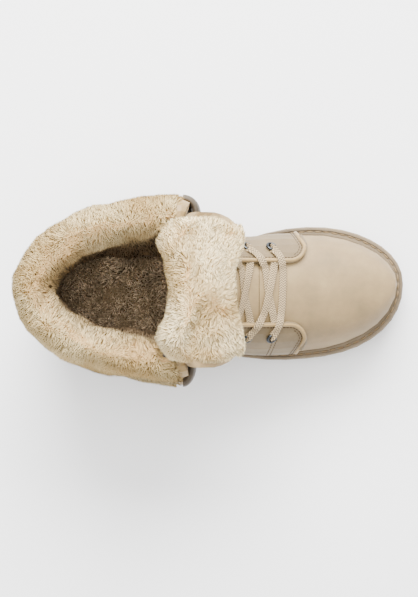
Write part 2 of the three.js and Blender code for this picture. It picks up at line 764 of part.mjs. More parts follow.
function tonguePileSolid() {
  const rows = tongueRows().slice(1);
  const last = rows.length - 1;
  const thick = (r, k) => {
    const edge = Math.min(Math.min(r, last - r, 2), Math.min(k, ACROSS - k, 2)) / 2;
    return tonguePile * mix(0.6, 1, edge) + locks(r, k, 2.1) * edge;
  };
  const grid = (depthOf) =>
    rows.map((row, r) => {
      const over = r === last ? 2 : 0;
      return Array.from({ length: ACROSS + 1 }, (_, k) => {
        const [x, y, z] = tonguePoint(row, acrossAt(k), depthOf(r, k), tongueMargin);
        return [x + over, y, z];
      });
    });
  return sheet(grid(() => tongueThick / 2), grid((r, k) => tongueThick + gap + thick(r, k)));
}

// Gussets: leather between the turned-down shaft and the tongue, with a rolled rim
function gusset(name) {
  const sign = name === "medial" ? 1 : -1;
  const steps = 6;
  const back = collarFront + 2 * foldRadius + pile + 5;
  const front = collarFront + 5;
  // Rows from the rim down and in towards the shaft
  const rows = [[0, 0], [-7, -1.5], [-16, -9], [-19, -19]];
  const grid = (inset) =>
    rows.map(([down, drawn]) =>
      Array.from({ length: steps + 1 }, (_, i) => {
        const turn = (Math.PI / 2) * (i / steps);
        const reach = gussetReach + 0.25 * drawn;
        const x = shaftFront + gussetStart + reach * Math.sin(turn) - inset;
        const y = mix(back, front, 1 - Math.cos(turn)) + drawn * mix(1, 0.45, i / steps) - inset * 0.8;
        return [x, collarShift + sign * y, gussetRim + down + (3 * i) / steps];
      }),
    );
  return sheet(grid(0), grid(wall));
}

// Sole

function outsole() {
  const top = (x) => bed(x) - midsoleThick - 2 * gap;
  const levels = [
    [0, 2.4],
    [0.12, sideStep],
    [0.78, sideStep],
    [0.8, 0.3],
    [1, 0.3],
  ];
  const loops = levels.map(([share, inset]) => planLoop(inset, (x) => mix(ground(x), top(x), share), 30));
  return loft(loops).subtract(grooves());
}

// Cross grooves of the heel and of the forefoot, inside a plain rim, with a solid bar along the middle
function grooves() {
  const cuts = [];
  const bar = 5;
  const first = { heel: 20, fore: treadStart + 10 };
  for (const [from, to] of [[first.heel, heelEnd - 12], [first.fore, soleLength - 40]]) {
    for (let x = from; x < to; x += lugPitch) {
      const height = [ground(x) - 1, ground(x) + treadDepth];
      for (const name of ["medial", "lateral"]) {
        const outer = side(x, name) - Math.sign(side(x, name)) * railWidth;
        const span = [bar * Math.sign(outer), outer].sort((a, b) => a - b);
        cuts.push(box([x, x + lugGroove], span, height));
      }
    }
  }
  return unionOf(cuts);
}

function midsole() {
  const levels = [[-midsoleThick, 0.6], [-0.75 * midsoleThick, 0], [-0.25 * midsoleThick, 0], [0, 0.6]];
  return loft(levels.map(([drop, inset]) => planLoop(inset, (x) => bed(x) + drop - gap, 26)));
}

// Stitched welt: an outer rim, a groove for the stitches and a raised rand against the upper
function weltRing() {
  const height = (rise) => (x) => bed(x) + rise;
  const edge = planLoop(0.5, height(0.6 * welt.rim));
  const slab = loft([planLoop(0.9, height(0)), edge, planLoop(1, height(welt.rim))]);
  const rand = loft([
    planLoop(welt.lip - welt.rand, height(0)),
    planLoop(welt.lip - welt.rand, height(welt.rim)),
    planLoop(welt.lip - welt.rand + 0.4, height(welt.rim + welt.rise)),
  ]);
  const channel = welt.lip - welt.rand;
  const floor = welt.rim - welt.groove;
  const cut = (inset, from, to) => loft([planLoop(inset, height(from)), planLoop(inset, height(to))]);
  const groove = cut(channel - welt.grooveWidth, floor, 2 * welt.rim);
  const inside = form(-gap, 0.1);
  return slab.subtract(groove.subtract(cut(channel, -1, 3 * welt.rim))).add(rand).subtract(inside);
}

function insole() {
  const inset = welt.lip + wall + 1.2;
  return loft([planLoop(inset, bed, 20), planLoop(inset + 0.4, (x) => bed(x) + insoleThick, 20)]);
}

function upper() {
  const shell = form(0).subtract(form(wall, 0.06)).subtract(throat());
  const holes = ["medial", "lateral"].flatMap((name) => [
    ...quarterEyelets(name).map(({ at, normal }) => bore(at, normal, eyelet.barrel + gap, 8, 3)),
    ...cuffEyelets(name).map(({ at, normal }) => bore(at, normal, eyelet.barrel + gap, 4.4, 1)),
  ]);
  return shell.add(turnedLeather()).subtract(unionOf(holes));
}

// Materials: colour, roughness, metalness
const LOOKS = {
  leather: [0xc9bca6, 0.7, 0],
  rubber: [0xbfae98, 0.85, 0],
  fleece: [0xdfcfb0, 1, 0],
  lace: [0xdacdbc, 0.9, 0],
  metal: [0x55565a, 0.35, 1],
  lining: [0x8a7358, 1, 0],
};
const materials = Object.fromEntries(
  Object.entries(LOOKS).map(([name, [color, roughness, metalness]]) => [
    name,
    new THREE.MeshStandardMaterial({ name, color, roughness, metalness }),
  ]),
);

const heelCentre = 40; // from the heel's back to the middle of its tread, where the origin lies
const boot = new THREE.Group();
boot.name = "boot";
boot.position.x = -heelCentre;

function place(name, look, made) {
  const { vertProperties, triVerts, numProp } = made.getMesh();
  const geometry = new THREE.BufferGeometry();
  const count = vertProperties.length / numProp;
  const positions = new Float32Array(3 * count);
  for (let i = 0; i < count; i += 1) {
    positions.set(vertProperties.subarray(i * numProp, i * numProp + 3), 3 * i);
  }
  geometry.setAttribute("position", new THREE.BufferAttribute(positions, 3));
  geometry.setIndex([...triVerts]);
  const mesh = new THREE.Mesh(geometry.toNonIndexed(), materials[look]);
  mesh.geometry.computeVertexNormals();
  mesh.name = name;
  boot.add(mesh);
}

place("outsole", "rubber", outsole());
place("midsole", "rubber", midsole());
place("welt", "leather", weltRing());
place("insole", "lining", insole());
place("upper", "leather", upper());
const leather = upperSpace();
for (const name of ["medial", "lateral"]) {
  const holes = quarterEyelets(name).map(({ at, normal }) => bore(at, normal, eyelet.barrel + gap, 8, 6));
  place(`quarter_${name}`, "leather", quarter(name).subtract(unionOf(holes)));
  quarterEyelets(name).forEach(({ at, normal }, i) => {
    place(`eyelet_${name}_${i + 1}`, "metal", ring(at, normal, quarterThick + gap + 1.2));
  });
  cuffEyelets(name).forEach(({ at, normal }, i) => {
    place(`eyelet_cuff_${name}_${i + 1}`, "metal", ring(at, normal, wall));
  });
  place(`binding_${name}`, "leather", cuffBinding(name).subtract(leather));
  place(`gusset_${name}`, "leather", gusset(name).subtract(leather));
}
const pits = ["medial", "lateral"].flatMap((name) =>
  cuffEyelets(name).map(({ at, normal }) => bore(at, normal, eyelet.flange + gap, 3, 20)),
);
place("cuff_fleece", "fleece", cuffPile().subtract(leather).subtract(unionOf(pits)));
const cuff = cuffSpace();
place("tongue", "leather", tongue().subtract(cuff));
place("tongue_fleece", "fleece", tonguePileSolid().subtract(tongueSpace()).subtract(cuff));
for (const [name, made] of Object.entries(laces())) place(name, "lace", made);

export default boot;
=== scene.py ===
# %% [markdown]
# # A pile-lined boot
#
# The boot stands on a pale floor and is seen from straight above, with its toe to the right.
# Its shaft and tongue are folded down, so most of what shows is deep pile. The cells below
# load the frame, dress the leather and rubber, grow the pile, sew the seams and lace the boot.

# %% Frame and sizes
import math

import bpy
import numpy as np
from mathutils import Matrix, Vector
from mathutils.bvhtree import BVHTree


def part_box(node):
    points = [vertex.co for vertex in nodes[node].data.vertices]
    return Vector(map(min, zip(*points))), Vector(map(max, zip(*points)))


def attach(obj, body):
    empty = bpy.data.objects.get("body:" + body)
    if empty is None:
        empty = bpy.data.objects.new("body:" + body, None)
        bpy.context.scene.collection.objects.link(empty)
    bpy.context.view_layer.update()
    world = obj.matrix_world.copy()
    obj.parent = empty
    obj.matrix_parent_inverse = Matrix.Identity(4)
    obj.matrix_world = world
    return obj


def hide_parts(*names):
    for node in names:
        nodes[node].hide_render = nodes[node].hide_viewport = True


MM = 0.001

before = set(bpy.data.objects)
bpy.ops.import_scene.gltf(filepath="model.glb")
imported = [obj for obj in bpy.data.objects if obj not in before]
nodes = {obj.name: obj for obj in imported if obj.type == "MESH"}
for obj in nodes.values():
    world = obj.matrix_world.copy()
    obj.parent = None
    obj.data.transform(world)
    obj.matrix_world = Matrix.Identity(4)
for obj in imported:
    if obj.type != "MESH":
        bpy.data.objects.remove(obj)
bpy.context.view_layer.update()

# The sole's back and the middle line of the shaft's opening, in metres
HEEL_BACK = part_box("midsole")[0].x
COLLAR_MIDDLE = 1.3 * MM


def place(x, y):
    """A place of the plan, in metres, from millimetres measured from the heel's back."""
    return HEEL_BACK + x * MM, y * MM


# %% [markdown]
# ## Tools for meshes
#
# Each finished piece is one mesh object at the origin that rides on the boot's only body.


# %% Tools for meshes
def finish_piece(name, mesh, material):
    """A mesh as a finished piece on the boot's body, in one material."""
    piece = bpy.data.objects.new(name, mesh)
    bpy.context.scene.collection.objects.link(piece)
    mesh.materials.clear()
    mesh.materials.append(material)
    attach(piece, "root")
    return piece


def mesh_from(name, vertices, faces):
    mesh = bpy.data.meshes.new(name)
    mesh.from_pydata([tuple(v) for v in vertices], [], [tuple(f) for f in faces])
    mesh.shade_smooth()
    return mesh


def same_places(vertices):
    """For each vertex, the number of its place: split corners share one."""
    _, place_of = np.unique(np.round(vertices, 6), axis=0, return_inverse=True)
    return place_of.ravel()


def mesh_arrays(mesh):
    """Vertices, triangles and smooth vertex normals of a mesh."""
    mesh.calc_loop_triangles()
    vertices = np.empty(len(mesh.vertices) * 3)
    mesh.vertices.foreach_get("co", vertices)
    vertices = vertices.reshape(-1, 3)
    corners = np.empty(len(mesh.loop_triangles) * 3, int)
    mesh.loop_triangles.foreach_get("vertices", corners)
    corners = corners.reshape(-1, 3)
    a, b, c = (vertices[corners[:, i]] for i in range(3))
    cross = np.cross(b - a, c - a)
    # The solids come with split corners, so normals are pooled by place
    pooled = same_places(vertices)
    sums = np.zeros((pooled.max() + 1, 3))
    for i in range(3):
        np.add.at(sums, pooled[corners[:, i]], cross)
    return vertices, corners, unit(sums[pooled])


def unit(v):
    return v / np.maximum(np.linalg.norm(v, axis=1, keepdims=True), 1e-12)


def tree_of(*names):
    """A search tree of CAD nodes, to find their surfaces with rays."""
    vertices, faces = [], []
    for name in names:
        mesh = nodes[name].data
        start = len(vertices)
        vertices += [v.co.copy() for v in mesh.vertices]
        faces += [[start + i for i in p.vertices] for p in mesh.polygons]
    return BVHTree.FromPolygons(vertices, faces)


OVERHEAD = 0.3


def drop(tree, x, y):
    """The highest point of a surface over a place, and its normal."""
    hit, normal, _, _ = tree.ray_cast(Vector((x, y, OVERHEAD)), Vector((0, 0, -1)))
    return hit, normal


# %% [markdown]
# ## Materials
#
# All colours are procedural. Leather has a mottled, finely grained nubuck face.

# %% Materials
# How much of each colour channel it takes to show as a mid tone in this scene's light
CHANNEL_GAINS = (0.077, 0.083, 0.076)
DARKEST, LIGHTEST = 0.003, 0.9


def shown(r, g, b, richer=1.2):
    """Base colour that looks like an 8-bit colour in this scene's light and view.

    richer: how far it goes from grey, as the view takes colour out of what it shows.
    """
    shares = [c / 255 for c in (r, g, b)]
    linear = [gain * c**2.4 / (1 - c) for c, gain in zip(shares, CHANNEL_GAINS)]
    mean = sum(linear) / 3
    made = [max(mean + richer * (c - mean), DARKEST) for c in linear]
    scale = min(1.0, LIGHTEST / max(made))
    return (*(c * scale for c in made), 1.0)


class Shader:
    """A material's node tree, with short calls to add and link nodes."""

    def __init__(self, name):
        self.material = bpy.data.materials.new(name)
        self.material.use_nodes = True
        self.tree = self.material.node_tree
        self.surface = self.tree.nodes["Principled BSDF"]
        self.coords = None

    def add(self, kind, inputs=None, **settings):
        node = self.tree.nodes.new(kind)
        for key, value in settings.items():
            setattr(node, key, value)
        for key, value in (inputs or {}).items():
            self.feed(node.inputs[key], value)
        return node

    def feed(self, socket, value):
        if isinstance(value, bpy.types.NodeSocket):
            self.tree.links.new(value, socket)
        else:
            socket.default_value = value

    def set(self, **values):
        for key, value in values.items():
            self.feed(self.surface.inputs[key.replace("_", " ")], value)

    def object_coords(self):
        if self.coords is None:
            self.coords = self.add("ShaderNodeTexCoord").outputs["Object"]
        return self.coords

    def noise(self, scale, detail=3.0, roughness=0.55):
        inputs = {"Vector": self.object_coords(), "Scale": scale, "Detail": detail, "Roughness": roughness}
        return self.add("ShaderNodeTexNoise", inputs).outputs["Fac"]

    def ramp(self, fac, stops):
        node = self.add("ShaderNodeValToRGB", {"Fac": fac})
        elements = node.color_ramp.elements
        while len(elements) < len(stops):
            elements.new(0.5)
        for element, (position, colour) in zip(elements, stops):
            element.position = position
            element.color = colour
        return node.outputs["Color"]

    def bump(self, height, strength, distance, normal=None):
        inputs = {"Height": height, "Strength": strength, "Distance": distance}
        if normal is not None:
            inputs["Normal"] = normal
        return self.add("ShaderNodeBump", inputs).outputs["Normal"]


def leather(name, dark, mid, light, roughness=0.62):
    shader = Shader(name)
    mottle = shader.noise(scale=34.0, detail=5.0, roughness=0.62)
    colour = shader.ramp(mottle, [(0.3, dark), (0.5, mid), (0.72, light)])
    unevenness = shader.noise(scale=90.0, detail=4.0)
    uneven = shader.bump(unevenness, strength=0.25, distance=1.2 * MM)
    nap = shader.noise(scale=1400.0, detail=2.0)
    grain = shader.bump(nap, strength=0.35, distance=0.3 * MM, normal=uneven)
    shader.set(Base_Color=colour, Roughness=roughness, Normal=grain, Sheen_Weight=0.04, Sheen_Roughness=0.5)
    return shader.material


def plain(name, colour, roughness, metallic=0.0):
    shader = Shader(name)
    shader.set(Base_Color=colour, Roughness=roughness, Metallic=metallic)
    return shader.material


def vertex_coloured(name):
    shader = Shader(name)
    colour = shader.add("ShaderNodeAttribute", attribute_name="tint").outputs["Color"]
    shader.set(Base_Color=colour, Roughness=0.9, Specular_IOR_Level=0.15)
    return shader.material


VAMP = leather("nubuck", shown(196, 182, 162), shown(204, 190, 170), shown(211, 199, 180))
QUARTER = leather("quarter nubuck", shown(177, 161, 140), shown(187, 172, 151), shown(196, 182, 162))
SMOOTH_LEATHER = leather(
    "smooth leather", shown(196, 180, 155), shown(208, 193, 168), shown(216, 202, 180), 0.5
)
# Painted shade: a darker leather that stands for the shade the gussets lie in
SHADED_GUSSET_LEATHER = leather("gusset leather in painted shade", shown(128, 112, 96), shown(146, 130, 112), shown(160, 144, 126))
WELT = leather("welt", shown(178, 162, 142, 1.0), shown(190, 175, 155, 1.0), shown(200, 186, 167, 1.0))
RUBBER = leather("sole rubber", shown(180, 164, 145), shown(192, 177, 158), shown(200, 186, 168), 0.75)
PILE = vertex_coloured("pile")
GUNMETAL = plain("gunmetal", shown(150, 150, 156, 1.0), 0.28, 1.0)
THREAD = plain("thread", shown(150, 130, 106), 0.8)
PALE_THREAD = plain("pale thread", shown(203, 187, 163, 1.0), 0.8)
print("materials:", len(bpy.data.materials))

# %% [markdown]
# ## Leather and rubber
#
# The frame's own solids carry the leather and rubber. Smooth shading up to a crease angle
# rounds their facets and keeps cut edges crisp. The gussets are modelled anew further down.

# %% Leather and rubber
DRESS = {
    "upper": (VAMP, "leather"),
    "tongue": (VAMP, "leather"),
    "quarter_medial": (QUARTER, "leather"),
    "quarter_lateral": (QUARTER, "leather"),
    "binding_medial": (SMOOTH_LEATHER, "leather"),
    "binding_lateral": (SMOOTH_LEATHER, "leather"),
    "outsole": (RUBBER, "rubber"),
    "midsole": (RUBBER, "rubber"),
    "welt": (WELT, "leather"),
}
CREASE_ANGLE = math.radians(38)
OPEN_ANGLE = math.radians(24)  # a place counts as open if no face there turns further from its normal
EVENING_ROUNDS = 8


def even_normals(mesh):
    """Spreads the normals of the smooth faces over their neighbours, so that facets don't show."""
    vertices, corners, normals = mesh_arrays(mesh)
    place_of = same_places(vertices)
    a, b, c = (vertices[corners[:, i]] for i in range(3))
    face = unit(np.cross(b - a, c - a))
    flat = np.ones(place_of.max() + 1)
    field = np.zeros((len(flat), 3))
    field[place_of] = normals
    for i in range(3):
        np.minimum.at(flat, place_of[corners[:, i]], np.sum(face * normals[corners[:, i]], 1))
    open_face = flat > math.cos(OPEN_ANGLE)
    ends = np.concatenate([place_of[corners[:, [i, (i + 1) % 3]]] for i in range(3)])
    ends = ends[open_face[ends].all(1)]
    for _ in range(EVENING_ROUNDS):
        total = field.copy()
        np.add.at(total, ends[:, 0], field[ends[:, 1]])
        np.add.at(total, ends[:, 1], field[ends[:, 0]])
        field = unit(total)
    made = np.where(open_face[place_of][:, None], field[place_of], 0.0)
    mesh.normals_split_custom_set_from_vertices(made)


for name, (material, slot) in DRESS.items():
    mesh = nodes[name].data
    mesh.materials.clear()
    mesh.materials.append(material)
    mesh.shade_smooth()
    mesh.set_sharp_from_angle(angle=CREASE_ANGLE)
    if name == "upper":
        even_normals(mesh)
print("dressed:", len(DRESS), "nodes")

# %% [markdown]
# ## Pile
#
# The pile is grown from the fleece solids. Points are spread over a solid's faces; each one
# grows a bent blade that leans along the comb direction and towards the middle of its lock.
# Blades carry nearly the base's smooth normal, which gives the pile its soft shading.

# %% Pile
SEED, LOCK_SEED = 7, 5
rng = np.random.default_rng(SEED)


def shrunk(name, node, depth_of):
    """The skin under a fleece solid's pile: its surface moved inwards."""
    vertices, corners, normals = mesh_arrays(nodes[node].data)
    moved = vertices - normals * depth_of(vertices, normals)[:, None]
    return mesh_from(name, moved, corners)


BACKING = 7 * MM


def surface_samples(mesh, per_mm2, keep, backing=None):
    """Points and smooth normals spread evenly over a mesh, where keep(points, normals) is true.

    Faces that look at the CAD node named backing from nearer than BACKING are a hidden back and
    get none.
    """
    vertices, corners, smooth = mesh_arrays(mesh)
    a, b, c = (vertices[corners[:, i]] for i in range(3))
    cross = np.cross(b - a, c - a)
    area = np.linalg.norm(cross, axis=1) / 2
    if backing:
        tree = tree_of(backing)
        for i, (middle, facing) in enumerate(zip((a + b + c) / 3, unit(cross))):
            if tree.ray_cast(Vector(middle), Vector(facing), BACKING)[0] is not None:
                area[i] = 0.0
    count = int(area.sum() * 1e6 * per_mm2)
    chosen = rng.choice(len(area), count, p=area / area.sum())
    u, v = rng.random(count), rng.random(count)
    flip = u + v > 1
    u[flip], v[flip] = 1 - u[flip], 1 - v[flip]
    w = 1 - u - v
    points = a[chosen] * w[:, None] + b[chosen] * u[:, None] + c[chosen] * v[:, None]
    n = [smooth[corners[chosen, i]] for i in range(3)]
    normals = unit(n[0] * w[:, None] + n[1] * u[:, None] + n[2] * v[:, None])
    kept = keep(points, normals)
    return points[kept], normals[kept]


WAVE_COUNT = 7
WAVE_HEIGHT = 3.2  # sums beyond this are cut off


def waves(points, scale, seed):
    """Smooth pseudo-random values from -1 to 1, about scale metres from crest to crest."""
    local = np.random.default_rng(seed)
    total = np.zeros(len(points))
    for _ in range(WAVE_COUNT):
        direction = local.normal(size=3)
        direction /= np.linalg.norm(direction)
        phase = local.random() * 2 * np.pi
        wavelength = scale * (0.6 + 0.8 * local.random())
        total += np.sin(points @ direction * (2 * np.pi / wavelength) + phase)
    return np.clip(total / WAVE_HEIGHT, -1, 1)


BLADE_WIDTH = 0.31 * MM
BLADE_SHORTEST, BLADE_LONGEST = 0.75, 1.1  # shares of the length asked for
BLADE_SPREAD = 0.16  # how far blades lean at random
BLADE_BEND = 0.2  # how far a blade's middle stands off, as a share of its length
ROOT_SUNK = 0.4 * MM
LOCK_SIZE = 2.2 * MM
LOCK_SWIRL = 0.05  # how far a whole lock leans at random
LOCK_PULL = 0.1  # how far tips gather at the middle of their lock
BLADE_TONES, LOCK_TONES = 0.04, 0.02  # how far blades and locks differ in lightness
SHADING_LEAN = 0.12  # how far a blade's own direction turns its shading normal


def grow(name, points, normals, comb, length, root, tip):
    """Blades of pile. comb: lean directions; root and tip: colours, one row for each blade."""
    count = len(points)
    shift = np.stack([waves(points, 0.008, seed) for seed in (1, 2, 3)], 1)
    cell = np.floor(points / LOCK_SIZE + 0.5 * shift).astype(int)
    _, group = np.unique(cell, axis=0, return_inverse=True)
    group = group.ravel()
    size = np.bincount(group)
    middle = np.stack([np.bincount(group, points[:, i]) / size for i in range(3)], 1)[group]
    local = np.random.default_rng(LOCK_SEED)
    swirl = local.normal(size=(len(size), 3))[group] * LOCK_SWIRL
    direction = unit(normals + comb + swirl + BLADE_SPREAD * rng.normal(size=(count, 3)))
    reach = length * (BLADE_SHORTEST + (BLADE_LONGEST - BLADE_SHORTEST) * rng.random(count))
    straight = points + direction * reach[:, None]
    gathered = middle + unit(normals + comb + swirl) * reach[:, None]
    end = straight * (1 - LOCK_PULL) + gathered * LOCK_PULL
    half = points + (end - points) * 0.5 + normals * (BLADE_BEND * reach[:, None])
    start = points - normals * ROOT_SUNK
    side = unit(np.cross(end - points, rng.normal(size=(count, 3)))) * BLADE_WIDTH / 2
    outline = [start - side, start + side, half - 0.8 * side, half + 0.8 * side, end]
    vertices = np.stack(outline, 1).reshape(-1, 3)
    base = (np.arange(count) * 5)[:, None]
    faces = np.concatenate([base + [0, 1, 3], base + [0, 3, 2], base + [2, 3, 4]], 1).reshape(-1, 3)
    mesh = bpy.data.meshes.new(name)
    mesh.vertices.add(len(vertices))
    mesh.vertices.foreach_set("co", vertices.ravel())
    mesh.loops.add(faces.size)
    mesh.loops.foreach_set("vertex_index", faces.ravel().astype(np.int32))
    mesh.polygons.add(len(faces))
    mesh.polygons.foreach_set("loop_start", np.arange(0, faces.size, 3, dtype=np.int32))
    mesh.update(calc_edges=True)
    shade = (rng.normal(0, BLADE_TONES, count) + local.normal(0, LOCK_TONES, len(size))[group])[:, None]
    middle_colour = root * 0.35 + tip * 0.65
    tint = np.ones((count, 5, 4))
    for i, colour in enumerate([root, root, middle_colour, middle_colour, tip]):
        tint[:, i, :3] = np.clip(colour * (1 + shade), 0, 1)
    attribute = mesh.color_attributes.new("tint", "FLOAT_COLOR", "POINT")
    attribute.data.foreach_set("color", tint.ravel())
    mesh.polygons.foreach_set("use_smooth", np.ones(len(faces), bool))
    soft = unit(normals + SHADING_LEAN * direction)
    mesh.normals_split_custom_set_from_vertices(np.repeat(soft, 5, 0))
    piece = finish_piece(name, mesh, PILE)
    piece.visible_shadow = False  # fine pile lets light through; its skin still casts the shadows
    return piece


CREAM = np.array([0.97, 0.82, 0.51])
TAN = np.array([0.70, 0.52, 0.26])
ROOT_TONE = np.array([0.84, 0.78, 0.68])
# Painted shade: the colour the pile darkens to deep inside the shaft
LINING_SHADE = np.array([0.27, 0.195, 0.12])
CUFF_TONE = np.array([0.70, 0.655, 0.57])
INSOLE_DARK = np.array([0.50, 0.365, 0.23])
INSOLE_LIGHT = np.array([0.62, 0.46, 0.30])


def pile_colours(points, depth, tan):
    """Root and tip colours: patches of tan in cream, darkened by painted shade towards LINING_SHADE as
    depth goes from 0 to 1.

    tan: how far the pile is tan on average, from 0 to 1.
    """
    patch = tan + 0.7 * waves(points, 0.04, 21) + 0.25 * waves(points, 0.01, 22)
    patch = np.clip(patch, 0, 1)[:, None]
    tip = CREAM * (1 - patch) + TAN * patch
    root = tip * ROOT_TONE
    # Painted shade: with depth, roots and tips darken towards LINING_SHADE
    depth = depth[:, None]
    return root * (1 - depth) + LINING_SHADE * 0.8 * depth, tip * (1 - depth) + LINING_SHADE * depth


cuff_low, cuff_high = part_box("cuff_fleece")
QUICK = 1.0
CREST = cuff_high.z - 0.010  # the fold's top, where the lining starts to fall away
OUTSIDE_FROM = cuff_low.z + 0.028  # outward faces lower than this are the lining's hidden back
UP = np.array([0.0, 0.0, 1.0])
FORWARD = np.array([1.0, 0.0, 0.0])
COLLAR_BACK = HEEL_BACK + 0.045  # the ends of the opening's middle line
COLLAR_FRONT = HEEL_BACK + 0.2


def outwards(points):
    """Directions in the plan away from the collar's middle line."""
    middle_x = np.clip(points[:, 0], COLLAR_BACK, COLLAR_FRONT)
    away = np.stack([points[:, 0] - middle_x, points[:, 1] - COLLAR_MIDDLE, np.zeros(len(points))], 1)
    return unit(away)


# Which part of the cuff a place belongs to, from the places p and their normals n
def seen_outside(p, n):
    return (np.sum(n * outwards(p), 1) > -0.1) & (p[:, 2] > OUTSIDE_FROM)


def is_inside(p, n):
    return np.sum(n * outwards(p), 1) <= -0.1


def fold_top(p, n):
    return (n[:, 2] > 0.25) & seen_outside(p, n)


def hanging(p, n):
    return (n[:, 2] <= 0.25) & (n[:, 2] > -0.9) & seen_outside(p, n)


def at_front(p, n):
    return (n[:, 0] > 0.4) & seen_outside(p, n) & (n[:, 2] > -0.5)


def falling(p):
    """Depth of painted shade inside the shaft for pile_colours: the lining darkens quickly below the fold.
    """
    return np.clip(0.3 + (CREST - 0.004 - p[:, 2]) / 0.035, 0, 1) ** 0.6


def no_depth(p):
    return np.zeros(len(p))


def ruffle(points, size, seed):
    """Slow changes of the combing direction."""
    return size * np.stack([waves(points, 0.022, seed + i) for i in range(3)], 1)


# How far the skins lie inside the fleece solids
OUTER_DEPTH = 0.9 * MM
INNER_DEPTH = 4.4 * MM
TIP_DEPTH = 4.6 * MM
MARGIN_DEPTH = 0.2 * MM


def cuff_depth(p, n):
    """Deep inside the shaft, less on the fold and none on the front edges."""
    inside = np.clip(0.6 - 1.2 * np.sum(n * outwards(p), 1), 0, 1)
    front = np.clip(1.4 - 1.6 * n[:, 0], 0, 1)
    return inside * INNER_DEPTH + (1 - inside) * OUTER_DEPTH * front


def tongue_depth(p, n):
    """Deep at the flap's tip, hardly any at its sides."""
    side_or_top = np.where(np.abs(n[:, 1]) > 0.5, MARGIN_DEPTH, OUTER_DEPTH)
    return np.where(n[:, 0] > 0.3, TIP_DEPTH, side_or_top)


cuff_skin = shrunk("skin_cuff", "cuff_fleece", cuff_depth)
tongue_skin = shrunk("skin_tongue", "tongue_fleece", tongue_depth)


def cuff_eyelets(side):
    return [np.array(sum(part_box(f"eyelet_cuff_{side}_{i}"), Vector()) / 2) for i in (1, 2)]


FRONT_EDGE = 9 * MM  # how deep the front edge's combing reaches
HIDDEN_EYELETS = cuff_eyelets("medial")
OPEN_EYELETS = cuff_eyelets("lateral")


def nearness(points, pit, radius, power):
    """1 at a pit, falling to 0 beyond the radius, as a column; and the directions to the pit."""
    to_pit = pit - points
    near = np.exp(-((np.linalg.norm(to_pit, axis=1) / radius) ** power))[:, None]
    return near, unit(to_pit)


def cuff_part(name, keep, density, length, comb_of, depth_of):
    """The pile of one part of the cuff; density: blades for each square millimetre."""
    points, normals = surface_samples(cuff_skin, density * QUICK, keep, "upper")
    # depth_of gives how deep the painted shade lies, for pile_colours
    root, tip = (colour * CUFF_TONE for colour in pile_colours(points, depth_of(points), tan=0.5))
    comb = comb_of(points, np.sum(normals * outwards(points), 1)[:, None]) + ruffle(points, 0.45, 31)
    # The front edges are combed forward over the binding
    comb[:, 0] += 0.9 * np.clip((points[:, 0] - cuff_high.x) / FRONT_EDGE + 1, 0, 1)
    # The pile closes over the eyelets of the inner side
    for pit in HIDDEN_EYELETS:
        near, towards = nearness(points, pit, 6 * MM, 2)
        comb += 2.2 * near * towards
        length = length * (1 + 0.5 * near[:, 0])
    # It is short and parted around those of the outer side
    for pit in OPEN_EYELETS:
        near, towards = nearness(points, pit, 7 * MM, 4)
        comb -= 2.0 * near * towards
        length = length * (1 - 0.55 * near[:, 0])
    grow(name, points, normals, comb, length, root, tip)
    print(name, len(points), "blades,", 3 * len(points), "triangles")


# comb_of takes the places and how far each faces outwards, from -1 to 1. The pile parts softly
# along the top of the fold, where it stands straight up.
def comb_fold(p, facing):
    return 0.8 * outwards(p) * np.clip(1.3 * facing + 0.1, -0.3, 1)


def comb_hanging(p, facing):
    return 0.3 * outwards(p) - 0.7 * UP


def comb_front(p, facing):
    return 0.9 * FORWARD


def comb_shaft(p, facing):
    return (0.7 * UP + 0.1 * outwards(p)) * np.clip(1.3 * facing, -1, 0)


# Densest where the picture shows it best
cuff_part("pile_fold", fold_top, 12.5, 4.8 * MM, comb_fold, no_depth)
cuff_part("pile_cuff", hanging, 4.2, 5.0 * MM, comb_hanging, no_depth)
cuff_part("pile_front", at_front, 9.0, 7.2 * MM, comb_front, no_depth)
# The shaft's pile gets painted shade below the fold
cuff_part("pile_shaft", is_inside, 3.8, 4.2 * MM, comb_shaft, falling)

# The tongue's pile is combed away from one place on the flap
WHORL = np.array([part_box("tongue_fleece")[0].x + 0.045, -0.013, 0.0])
TONGUE_DENSITY, TONGUE_LENGTH = 8.7, 4.6 * MM


def flap_seen(p, n):
    return n[:, 2] > -0.35


points, normals = surface_samples(tongue_skin, TONGUE_DENSITY * QUICK, flap_seen, "tongue")
root, tip = pile_colours(points, no_depth(points), tan=0.3)
comb = 0.6 * unit((points - WHORL) * [1, 1, 0]) + ruffle(points, 0.4, 41)
grow("pile_tongue", points, normals, comb, TONGUE_LENGTH, root, tip)
print("pile_tongue", len(points), "blades,", 3 * len(points), "triangles")

# %% [markdown]
# ## Skin under the pile, and insole
#
# The shrunk skins that the blades grow from stand in for the fleece solids. They carry painted
# shade that darkens them from the fold down. The insole carries a short brown pile.

# %% Skin and insole
SKIN_SHADE_LOW = 0.05  # the height where the skins are darkest
skins = {
    "cuff_fleece": (cuff_skin, shown(222, 208, 182, 1.0)),
    "tongue_fleece": (tongue_skin, shown(226, 212, 186, 1.0)),
}
for name, (mesh, tone) in skins.items():
    skin = Shader(f"skin of {name}")
    height = skin.add("ShaderNodeSeparateXYZ", {"Vector": skin.object_coords()}).outputs["Z"]
    share = skin.add("ShaderNodeMapRange", {"Value": height, "From Min": SKIN_SHADE_LOW, "From Max": CREST})
    # Painted shade: darkest low in the shaft, lighter towards the fold's top
    stops = [(0.0, shown(170, 150, 122)), (0.8, shown(196, 178, 150)), (1.0, tone)]
    colour = skin.ramp(share.outputs["Result"], stops)
    skin.set(Base_Color=colour, Roughness=0.95)
    piece = finish_piece(mesh.name, mesh, skin.material)
    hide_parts(name)

